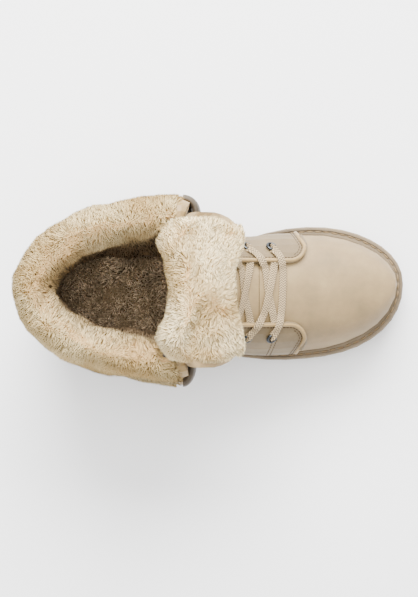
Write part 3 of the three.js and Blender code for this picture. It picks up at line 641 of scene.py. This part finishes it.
insole = nodes["insole"].data
insole.materials.clear()
insole.materials.append(plain("insole skin", shown(180, 162, 136, 1.0), 0.95))
INSOLE_SEEN = HEEL_BACK + 0.13  # further forward it lies under the tongue and the vamp
INSOLE_DENSITY, INSOLE_LENGTH = 3.4, 3.0 * MM


def insole_seen(p, n):
    return (n[:, 2] > 0.5) & (p[:, 0] < INSOLE_SEEN)


points, normals = surface_samples(insole, INSOLE_DENSITY * QUICK, insole_seen)
shade = (1 + 0.35 * waves(points, 0.02, 51) + 0.2 * waves(points, 0.006, 52))[:, None]
comb = 0.5 * FORWARD + ruffle(points, 0.5, 53)
grow("pile_insole", points, normals, comb, INSOLE_LENGTH, INSOLE_DARK * shade, INSOLE_LIGHT * shade)
print("pile_insole", len(points), "blades")

# %% [markdown]
# ## Seams
#
# A seam is a curve that lies on a surface. Its places come from the plan of the quarters and
# are dropped onto the leather, and a Geometry Nodes group sets stitches along it at an even
# pitch.


# %% Seams
def curve_of(name, paths):
    """A curve object of polylines."""
    curve = bpy.data.curves.new(name, "CURVE")
    curve.dimensions = "3D"
    for path in paths:
        spline = curve.splines.new("POLY")
        spline.points.add(len(path) - 1)
        for point, at in zip(spline.points, path):
            point.co = (*at, 1)
    made = bpy.data.objects.new(name, curve)
    bpy.context.scene.collection.objects.link(made)
    return made


def node_group(name, inputs):
    """A Geometry Nodes group with a geometry, these number inputs and a material."""
    group = bpy.data.node_groups.new(name, "GeometryNodeTree")
    kinds = {"Geometry": "NodeSocketGeometry", "Material": "NodeSocketMaterial"}
    kinds.update({key: "NodeSocketFloat" for key in inputs})
    sockets = {}
    for key, kind in kinds.items():
        sockets[key] = group.interface.new_socket(key, in_out="INPUT", socket_type=kind).identifier
    group.interface.new_socket("Geometry", in_out="OUTPUT", socket_type="NodeSocketGeometry")
    return group, sockets


def wire(group, *links):
    """Links in a node group, each from a node's output to a node's input."""
    for source, output, target, socket in links:
        group.links.new(source.outputs[output], target.inputs[socket])


def bake(source, group, sockets, values, name, material, slot):
    """The mesh that a node group makes from an object, as a finished piece."""
    modifier = source.modifiers.new("nodes", "NODES")
    modifier.node_group = group
    for key, value in {**values, "Material": material}.items():
        modifier[sockets[key]] = value
    source.update_tag()
    bpy.context.view_layer.update()
    mesh = bpy.data.meshes.new_from_object(source.evaluated_get(bpy.context.evaluated_depsgraph_get()))
    mesh.name = name
    source.modifiers.remove(modifier)
    bpy.data.objects.remove(source)
    mesh.shade_smooth()
    return finish_piece(name, mesh, material)


def stitch_group():
    """Stitches along a curve: grains of thread, turned along it."""
    group, sockets = node_group("stitches", ("Pitch", "Length", "Radius"))
    add = group.nodes.new
    entry, leave = add("NodeGroupInput"), add("NodeGroupOutput")
    points = add("GeometryNodeCurveToPoints")
    points.mode = "LENGTH"
    thread = add("GeometryNodeMeshUVSphere")
    thread.inputs["Segments"].default_value = 6
    thread.inputs["Rings"].default_value = 5
    thread.inputs["Radius"].default_value = 1
    half = add("ShaderNodeMath")
    half.operation = "MULTIPLY"
    half.inputs[1].default_value = 0.5
    size = add("ShaderNodeCombineXYZ")
    instances = add("GeometryNodeInstanceOnPoints")
    realize = add("GeometryNodeRealizeInstances")
    finish = add("GeometryNodeSetMaterial")
    wire(
        group,
        (entry, "Geometry", points, "Curve"),
        (entry, "Pitch", points, "Length"),
        (entry, "Length", half, 0),
        (entry, "Radius", size, "X"),
        (entry, "Radius", size, "Y"),
        (half, 0, size, "Z"),
        (points, "Points", instances, "Points"),
        (points, "Rotation", instances, "Rotation"),
        (thread, "Mesh", instances, "Instance"),
        (size, "Vector", instances, "Scale"),
        (instances, "Instances", realize, "Geometry"),
        (realize, "Geometry", finish, "Geometry"),
        (entry, "Material", finish, "Material"),
        (finish, "Geometry", leave, "Geometry"),
    )
    return group, sockets


STITCHES = stitch_group()


def sew(name, paths, pitch, length, radius, thread):
    """Stitches along paths, as one piece."""
    values = {"Pitch": pitch, "Length": length, "Radius": radius}
    piece = bake(curve_of(name, paths), *STITCHES, values, name, thread, "leather")
    print(name, len(paths), "seams,", len(piece.data.polygons), "faces")


def resample(path, count):
    """Evenly spaced points along a polyline, and the distance of each from its start."""
    path = np.array(path, float)
    run = np.concatenate([[0], np.cumsum(np.linalg.norm(np.diff(path, axis=0), axis=1))])
    at = np.linspace(0, run[-1], count)
    return np.stack([np.interp(at, run, path[:, i]) for i in range(path.shape[1])], 1), at


def laid(tree, plan, count, lift=0.1 * MM):
    """A line of the plan, in millimetres, laid on a surface as count points."""
    points = []
    for x, y in resample(plan, count)[0]:
        hit, normal = drop(tree, *place(x, y))
        if hit is not None:
            points.append(hit + normal * lift)
    return points


# The quarters' front in millimetres of the plan, from the heel's back and the throat's middle
THROAT_MIDDLE = -1.3
THROAT_HALF = 22.0
THROAT_BACK = 138.9
QUARTER_FRONT = 194.6
QUARTER_CORNER = 12.0
QUARTER_SLANT = 8.0  # how far the front edge leans back over SLANT_SPAN
SLANT_SPAN = 14.0
SIDES = {"medial": 1, "lateral": -1}
# How far the two rows of stitches lie in from the quarter's edge. The inner one starts at the corner
STITCH_ROWS = (3.3, 5.0)
CORNER_START = 4
SIDE_SEAM = [(170, -36), (168.5, -40.5), (166, -47)]
SIDE_SEAM_ROWS = (0.0, 2.6)


def quarter_line(sign, inset, reach=26.0):
    """A line along a quarter's throat edge, round its corner and down its front."""
    radius = max(QUARTER_CORNER - inset, 3.0)
    front = QUARTER_FRONT - inset
    line = [(THROAT_BACK, THROAT_HALF + inset)]
    # Round the corner
    for angle in np.linspace(0, math.pi / 2, 10):
        across = THROAT_HALF + inset + radius * (1 - math.cos(angle))
        line.append((front - radius * (1 - math.sin(angle)), across))
    leaning = QUARTER_SLANT * (reach - QUARTER_CORNER) / SLANT_SPAN
    line.append((front - leaning, THROAT_HALF + reach))
    return [(x, THROAT_MIDDLE + sign * y) for x, y in line]


quarter_tree = {name: tree_of(f"quarter_{name}") for name in SIDES}
rows = []
for name, sign in SIDES.items():
    rows.append(laid(quarter_tree[name], quarter_line(sign, STITCH_ROWS[0]), 110))
    rows.append(laid(quarter_tree[name], quarter_line(sign, STITCH_ROWS[1])[CORNER_START:], 50))
for shift in SIDE_SEAM_ROWS:
    rows.append(laid(quarter_tree["lateral"], [(x + shift, y) for x, y in SIDE_SEAM], 20))
sew("stitches_quarter", rows, pitch=2.6 * MM, length=2.1 * MM, radius=0.35 * MM, thread=THREAD)


# %% [markdown]
# ## Piping
#
# A round cord runs along the throat edge and round the corner of each quarter.

# %% Piping
PIPING_RADIUS = 1.5 * MM
PIPING_INSET = 1.2
PIPING_REACH = 22
PIPING_SUNK = 0.8  # share of its radius that the cord lies below the leather's face


def tube(points, radius):
    """Vertices and faces of a round tube through points."""
    sides = 12
    points = np.array(points)
    along = unit(np.gradient(points, axis=0))
    across = unit(np.cross(along, [0.0, 0.0, 1.0]))
    over = np.cross(across, along)
    angles = np.linspace(0, 2 * np.pi, sides, endpoint=False)
    rings = points[:, None] + radius * (
        across[:, None] * np.cos(angles)[None, :, None] + over[:, None] * np.sin(angles)[None, :, None]
    )
    faces = []
    for i in range(len(points) - 1):
        for k in range(sides):
            a, b = i * sides + k, i * sides + (k + 1) % sides
            faces.append((a, b, b + sides, a + sides))
    last = (len(points) - 1) * sides
    faces += [tuple(range(sides))[::-1], tuple(last + k for k in range(sides))]
    return rings.reshape(-1, 3), faces


def smoothed(points):
    """A line with its bends evened out."""
    points = np.array(points)
    for _ in range(3):
        points[1:-1] = (points[:-2] + 2 * points[1:-1] + points[2:]) / 4
    return points


for name, sign in SIDES.items():
    line = quarter_line(sign, PIPING_INSET, PIPING_REACH)
    crest = laid(quarter_tree[name], line, 90, lift=0.0)
    middle = smoothed(crest) - [0, 0, PIPING_RADIUS * PIPING_SUNK]
    mesh = mesh_from(f"piping_{name}", *tube(middle, PIPING_RADIUS))
    finish_piece(mesh.name, mesh, SMOOTH_LEATHER)
print("piping along", len(SIDES), "quarters")

# %% [markdown]
# ## Welt stitches
#
# The welt is sewn with long stitches that lie in its groove all the way round the upper.

# %% Welt stitches
WELT_GROOVE = 3.2 * MM  # in from the midsole's edge
SAME_STATION = 0.2 * MM
xy = np.array([v.co[:2] for v in nodes["midsole"].data.vertices])
stations = np.unique(np.round(xy[:, 0], 4))
spans = [xy[np.abs(xy[:, 0] - x) < SAME_STATION][:, 1] for x in stations]
medial_side = [(x, y.max()) for x, y in zip(stations, spans)]
lateral_side = [(x, y.min()) for x, y in zip(stations, spans)]
outline = resample(medial_side + lateral_side[::-1] + medial_side[:1], 400)[0][:-1]
for _ in range(4):
    outline = (np.roll(outline, 1, 0) + 2 * outline + np.roll(outline, -1, 0)) / 4
along = unit(np.roll(outline, -1, 0) - np.roll(outline, 1, 0))
inwards = np.stack([along[:, 1], -along[:, 0]], 1)
groove = outline + WELT_GROOVE * inwards
welt_tree = tree_of("welt")
ring = []
for x, y in np.vstack([groove, groove[:1]]):
    hit, _ = drop(welt_tree, x, y)
    if hit is not None:
        ring.append(hit)
seam = [smoothed(ring)]
sew("stitches_welt", seam, pitch=6.1 * MM, length=5.1 * MM, radius=0.75 * MM, thread=PALE_THREAD)

# %% [markdown]
# ## Eyelets
#
# Each eyelet is a rolled metal ring. A node group stands the rings on points that carry the
# direction they face; both come from the frame's own eyelets.


# %% Eyelets
def eyelet_group():
    """Rings on points, facing the way of the attribute 'facing'."""
    group, sockets = node_group("eyelets", ("Radius", "Roll"))
    add = group.nodes.new
    entry, leave = add("NodeGroupInput"), add("NodeGroupOutput")
    ring, roll = add("GeometryNodeCurvePrimitiveCircle"), add("GeometryNodeCurvePrimitiveCircle")
    ring.inputs["Resolution"].default_value = 28
    roll.inputs["Resolution"].default_value = 12
    sweep = add("GeometryNodeCurveToMesh")
    facing = add("GeometryNodeInputNamedAttribute")
    facing.data_type = "FLOAT_VECTOR"
    facing.inputs["Name"].default_value = "facing"
    align = add("FunctionNodeAlignRotationToVector")
    align.axis = "Z"
    instances = add("GeometryNodeInstanceOnPoints")
    realize = add("GeometryNodeRealizeInstances")
    finish = add("GeometryNodeSetMaterial")
    wire(
        group,
        (entry, "Geometry", instances, "Points"),
        (entry, "Radius", ring, "Radius"),
        (entry, "Roll", roll, "Radius"),
        (ring, "Curve", sweep, "Curve"),
        (roll, "Curve", sweep, "Profile Curve"),
        (facing, "Attribute", align, "Vector"),
        (align, "Rotation", instances, "Rotation"),
        (sweep, "Mesh", instances, "Instance"),
        (instances, "Instances", realize, "Geometry"),
        (realize, "Geometry", finish, "Geometry"),
        (entry, "Material", finish, "Material"),
        (finish, "Geometry", leave, "Geometry"),
    )
    return group, sockets


def ring_of(name):
    """The centre of an eyelet's flange and the direction it faces.

    The eyelet is as wide one way as the other, so it faces along the axis whose spread differs.
    """
    points = mesh_arrays(nodes[name].data)[0]
    middle = points.mean(0)
    _, spread, axes = np.linalg.svd(points - middle, full_matrices=False)
    odd = int(np.argmin([abs(spread[i - 2] - spread[i - 1]) for i in range(3)]))
    facing = axes[odd]
    level = (points - middle) @ facing
    radius = np.linalg.norm(points - middle - level[:, None] * facing, axis=1)
    rim = level[radius > 0.95 * radius.max()].mean()
    return middle + rim * facing, facing if rim > 0 else -facing


EYELET_SIZES = {"Radius": 3.0 * MM, "Roll": 1.0 * MM}
EYELET_LIFT = 0.1 * MM
eyelet_names = sorted(name for name in nodes if "eyelet" in name)
rings = [ring_of(name) for name in eyelet_names]
seats = mesh_from("eyelets", [centre + facing * EYELET_LIFT for centre, facing in rings], [])
facings = seats.attributes.new("facing", "FLOAT_VECTOR", "POINT")
facings.data.foreach_set("vector", np.array([facing for _, facing in rings]).ravel())
source = bpy.data.objects.new("eyelet seats", seats)
bpy.context.scene.collection.objects.link(source)
eyelets = bake(source, *eyelet_group(), EYELET_SIZES, "eyelets", GUNMETAL, "metal")
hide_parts(*eyelet_names)
print("eyelets:", len(rings), "rings,", len(eyelets.data.polygons), "faces")

# %% [markdown]
# ## Laces
#
# Each lace is a flat woven band. It lies on the tongue in the throat, climbs over the piping
# and dips into its eyelets. Its texture coordinates run across and along the band, and the
# weave is drawn from them.

# %% Laces
LACE_WIDTH = 6.0 * MM
LACE_THICK = 1.2 * MM
LACE_STEPS = 90
LACE_SIDES = 12
TURN_ROUNDS = 12  # how often the band's tilt is evened out along it
LACE_DIP = 3.4 * MM  # how far an end goes down into its eyelet
YARN_PITCH = 1.8 * MM
# Millimetres of the plan
EYELET_FIRST = 168.6
EYELET_PITCH = 17.5
HOLE = 11.0  # from the throat's edge to an eyelet's hole
OVERLAP = 9.0  # over what width a crossing band comes down again
TUCK = 5  # how far before the throat's edge an end without an eyelet stops climbing
LACE_FLOOR = 0.05  # anything lower, in metres, is seen through an eyelet's hole


def lace_material():
    """A herringbone weave: columns of yarns that slant to and fro."""
    shader = Shader("lace")
    uv = shader.add("ShaderNodeUVMap").outputs["UV"]
    parts = shader.add("ShaderNodeSeparateXYZ", {"Vector": uv})

    def maths(operation, *values):
        return shader.add("ShaderNodeMath", dict(enumerate(values)), operation=operation).outputs[0]

    columns = maths("PINGPONG", maths("MULTIPLY", parts.outputs["X"], 4.0), 1.0)
    along = maths("MULTIPLY", parts.outputs["Y"], 1 / YARN_PITCH)
    slant = maths("ADD", along, maths("MULTIPLY", columns, 0.9))
    yarn = maths("ABSOLUTE", maths("SINE", maths("MULTIPLY", slant, math.pi)))
    # Painted shade darkens the gaps between yarns and painted light brightens their crests, over the
    # weave's bump
    shaded_gap, side, top = (shown(*c, 1.0) for c in ((152, 139, 121), (205, 193, 175), (226, 216, 200)))
    colour = shader.ramp(yarn, [(0.1, shaded_gap), (0.6, side), (1.0, top)])
    normal = shader.bump(yarn, 0.8, 0.0006)
    shader.set(Base_Color=colour, Roughness=0.9, Normal=normal)
    return shader.material


LACE = lace_material()
throat_tree = tree_of("upper", "tongue")
side_tree = {
    name: tree_of("upper", f"quarter_{name}", *(f"eyelet_{name}_{i}" for i in (1, 2, 3))) for name in SIDES
}


def spline(corners, count):
    """A smooth line through corners of the plan."""
    corners = np.array(corners, float)
    padded = np.vstack([2 * corners[0] - corners[1], corners, 2 * corners[-1] - corners[-2]])
    line = []
    for i in range(len(corners) - 1):
        a, b, c, d = padded[i : i + 4]
        squared, cubed = 2 * a - 5 * b + 4 * c - d, 3 * b - a - 3 * c + d
        for t in np.linspace(0, 1, 16, endpoint=i == len(corners) - 2):
            line.append(0.5 * (2 * b + (c - a) * t + squared * t**2 + cubed * t**3))
    return resample(line, count)[0]


def evened(values, reach):
    """The highest values nearby, evened out: how a taut band rides over what it lies on."""
    wide = np.pad(values, reach, mode="edge")
    high = np.array([wide[i : i + 2 * reach + 1].max() for i in range(len(values))])
    window = np.hanning(2 * reach + 3)[1:-1]
    return np.convolve(np.pad(high, reach, mode="edge"), window / window.sum(), mode="valid")


def band(corners, raised=0.0, dips=(True, False)):
    """A lace along corners of the plan, as rings of points, places across and places along.

    raised: how many lace thicknesses its middle lies above what is under it, for another lace.
    dips: which of its ends go into eyelets. The last end may instead run on low, under the piping.
    """
    line = spline(corners, LACE_STEPS)
    heights, normals = [], []
    for x, y in line:
        inside = abs(y - THROAT_MIDDLE) < THROAT_HALF - 1.5
        name = "medial" if y > THROAT_MIDDLE else "lateral"
        hit, normal = drop(throat_tree if inside else side_tree[name], *place(x, y))
        open_hole = hit is None or hit.z < LACE_FLOOR
        heights.append(0.0 if open_hole else hit.z)
        normals.append((0.0, 0.0, 1.0) if open_hole else normal)
    middle = np.clip(1.6 - np.abs(line[:, 1] - THROAT_MIDDLE) / OVERLAP, 0, 1)
    if not dips[1]:
        tucked = np.abs(line[:, 1] - THROAT_MIDDLE) > THROAT_HALF - TUCK
        tucked[: LACE_STEPS // 2] = False
        last = np.flatnonzero(~tucked)[-1]
        heights[last:] = [heights[last]] * (LACE_STEPS - last)
    heights = evened(np.array(heights), 4) + LACE_THICK * (0.6 + raised * middle)
    run = np.linspace(0, 1, LACE_STEPS)
    for end, dips_here in zip((run, 1 - run), dips):
        if dips_here:
            heights -= LACE_DIP * np.exp(-((end / 0.025) ** 2))
    points = np.array([place(x, y) + (z,) for (x, y), z in zip(line, heights)])
    along = unit(np.gradient(points, axis=0))
    ups = np.array(normals)
    for _ in range(TURN_ROUNDS):
        ups[1:-1] = (ups[:-2] + ups[1:-1] + ups[2:]) / 3
    across = unit(np.cross(along, unit(ups)))
    over = np.cross(across, along)
    angles = np.linspace(0, 2 * np.pi, LACE_SIDES, endpoint=False) + np.pi / LACE_SIDES
    flat = np.sign(np.cos(angles)) * np.abs(np.cos(angles)) ** 0.6 * LACE_WIDTH / 2
    rise = np.sign(np.sin(angles)) * np.abs(np.sin(angles)) ** 0.7 * LACE_THICK / 2
    section = across[:, None] * flat[None, :, None] + over[:, None] * rise[None, :, None]
    rings = points[:, None] + section
    lengths = np.concatenate([[0], np.cumsum(np.linalg.norm(np.diff(points, axis=0), axis=1))])
    return rings, flat / LACE_WIDTH + 0.5, lengths


def lace(name, *bands):
    """One mesh of bands, in place of a lace of the frame."""
    vertices, faces, places = [], [], []
    for rings, widths, lengths in bands:
        start = sum(len(part) for part in vertices)
        sides = len(widths)
        vertices.append(rings.reshape(-1, 3))
        places += [(u, v) for v in lengths for u in widths]
        for i in range(len(lengths) - 1):
            for k in range(sides):
                a, b = start + i * sides + k, start + i * sides + (k + 1) % sides
                faces.append((a, b, b + sides, a + sides))
        last = start + (len(lengths) - 1) * sides
        faces += [tuple(range(start, start + sides))[::-1], tuple(range(last, last + sides))]
    mesh = mesh_from(f"woven_{name}", np.vstack(vertices), faces)
    layer = mesh.uv_layers.new(name="UVMap")
    for loop in mesh.loops:
        layer.data[loop.index].uv = places[loop.vertex_index]
    piece = finish_piece(mesh.name, mesh, LACE)
    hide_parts(name)
    print(mesh.name, "length", [round(float(lengths[-1] * 1000)) for _, _, lengths in bands], "mm")


def edge(sign, out):
    """A place across the plan, so far out from a quarter's throat edge."""
    return THROAT_MIDDLE + sign * (THROAT_HALF + out)


def along_throat(first, *steps):
    """Corners of a lace: first, its eyelet's place; steps: shares of the pitch and places across."""
    return [(first + share * EYELET_PITCH, y) for share, y in steps]


def crossing(first):
    """Two bands from a pair of eyelets to the other side, the lateral one over the medial one."""
    from_medial = along_throat(
        first,
        (0.0, edge(1, HOLE)),
        (0.5, edge(1, 4)),
        (0.76, edge(1, -6)),
        (0.88, THROAT_MIDDLE),
        (1.01, edge(-1, -11)),
        (1.16, edge(-1, 1.5)),
    )
    from_lateral = along_throat(
        first,
        (0.0, edge(-1, HOLE)),
        (0.42, edge(-1, 3)),
        (0.72, edge(-1, -8)),
        (0.91, THROAT_MIDDLE),
        (1.05, edge(1, -10)),
        (1.16, edge(1, 1.5)),
    )
    return band(from_medial), band(from_lateral, raised=1.0)


# The front lace runs straight across
bar = along_throat(
    EYELET_FIRST,
    (0.0, edge(1, HOLE)),
    (0.36, edge(1, 4)),
    (0.48, edge(1, -6)),
    (0.47, THROAT_MIDDLE),
    (0.42, edge(-1, -8)),
    (0.30, edge(-1, 3)),
    (0.0, edge(-1, HOLE)),
)
lace("lace_bar", band(bar, dips=(True, True)))
lace("lace_cross_front", *crossing(EYELET_FIRST - EYELET_PITCH))
lace("lace_cross_back", *crossing(EYELET_FIRST - 2 * EYELET_PITCH))

# %% [markdown]
# ## Gussets
#
# A gusset is a bellows of leather between the turned-down shaft and the tongue. It starts
# behind the binding, bulges forward over a rolled rim and drops into a dark pocket. Its leather
# is darkened with painted shade.

# %% Gussets
GUSSET_COLUMNS = 14
# Rows from the outer skirt over the rim into the pocket, with a raised seam in it: how far in
# from the rim's outer edge and how far up from its top, in millimetres
GUSSET_ROWS = [
    (-0.6, -26),
    (-0.4, -14),
    (0.0, -6),
    (0.5, -2.2),
    (1.6, -0.4),
    (3.0, 0),
    (4.4, -0.8),
    (5.4, -3.0),
    (6.0, -7),
    (6.6, -9.5),
    (7.2, -8.8),
    (8.0, -9.0),
    (8.6, -11.5),
    (9.5, -16),
    (12.0, -20),
]
GUSSET_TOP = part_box("gusset_medial")[1].z + 0.4 * MM
# Millimetres of the plan. The rim is a quarter round about its back and side place
GUSSET_BACK = 105.5
GUSSET_SIDE = 54.0
GUSSET_INNER = 36.0
GUSSET_REACH = {"medial": 12.0, "lateral": 9.0}
GUSSET_BULGE = {"medial": 12.6, "lateral": 15.4}


def gusset(sign, reach, bulge):
    """Vertices and faces of a gusset whose rim stands out forward by reach and sideways by bulge."""
    middle = COLLAR_MIDDLE / MM
    vertices = []
    for inset, up in GUSSET_ROWS:
        for i in range(GUSSET_COLUMNS):
            turn = math.pi / 2 * i / (GUSSET_COLUMNS - 1)
            x = GUSSET_BACK + (reach - inset) * math.sin(turn)
            y = GUSSET_SIDE + (bulge - inset) * math.cos(turn)
            vertices.append((*place(x, middle + sign * y), GUSSET_TOP + up * MM))
        # On under the tongue
        inner = place(GUSSET_BACK + reach - inset, middle + sign * GUSSET_INNER)
        vertices.append((*inner, GUSSET_TOP + up * MM))
    faces = []
    columns = GUSSET_COLUMNS + 1
    for r in range(len(GUSSET_ROWS) - 1):
        for i in range(columns - 1):
            a = r * columns + i
            face = (a, a + 1, a + 1 + columns, a + columns)
            faces.append(face if sign < 0 else face[::-1])
    return vertices, faces


for name, sign in SIDES.items():
    mesh = mesh_from(f"bellows_{name}", *gusset(sign, GUSSET_REACH[name], GUSSET_BULGE[name]))
    piece = finish_piece(mesh.name, mesh, SHADED_GUSSET_LEATHER)
    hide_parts(f"gusset_{name}")
print("gussets:", len(SIDES))

# %% [markdown]
# ## Camera, light and floor
#
# The camera looks straight down from 1.5 m. A big soft light stands on the inner side, so
# the shadow falls past the outer side.

# %% Camera, light and floor
CAMERA_HEIGHT = 1.5
PICTURE_MIDDLE = (123.9, -5.6)
camera_data = bpy.data.cameras.new("camera")
camera = bpy.data.objects.new("camera", camera_data)
bpy.context.scene.collection.objects.link(camera)
camera.location = (*place(*PICTURE_MIDDLE), CAMERA_HEIGHT)
camera_data.lens = 119.9
camera_data.clip_start = 0.05
bpy.context.scene.camera = camera

FLOOR_GAP = 0.5 * MM  # so that the floor and the sole's underside don't share a plane
bpy.ops.mesh.primitive_plane_add(size=6, location=(0.1, 0, -FLOOR_GAP))
floor = bpy.context.object
floor.name = "floor"
floor.data.materials.append(plain("floor", (0.93, 0.93, 0.93, 1), 0.7))


BOOT_MIDDLE = Vector((0.09, 0.0, 0.05))


def lamp(name, location, size, watts):
    """A soft rectangular light that faces the middle of the boot."""
    data = bpy.data.lights.new(name, "AREA")
    data.shape = "RECTANGLE"
    data.size, data.size_y = size
    data.energy = watts
    light = bpy.data.objects.new(name, data)
    bpy.context.scene.collection.objects.link(light)
    light.location = location
    light.rotation_euler = (BOOT_MIDDLE - Vector(location)).to_track_quat("-Z", "Y").to_euler()
    return light


lamps = [
    lamp("key", (0.1, 1.5, 1.25), (1.6, 1.0), 175),
    lamp("fill", (-0.9, -0.7, 1.4), (1.4, 1.4), 11),
    lamp("top", (0.0, 0.3, 2.2), (2.0, 2.0), 50),
]
world = bpy.data.worlds.new("world")
bpy.context.scene.world = world
world.use_nodes = True
background = world.node_tree.nodes["Background"].inputs
background["Color"].default_value = (1, 1, 1, 1)
background["Strength"].default_value = 1.3
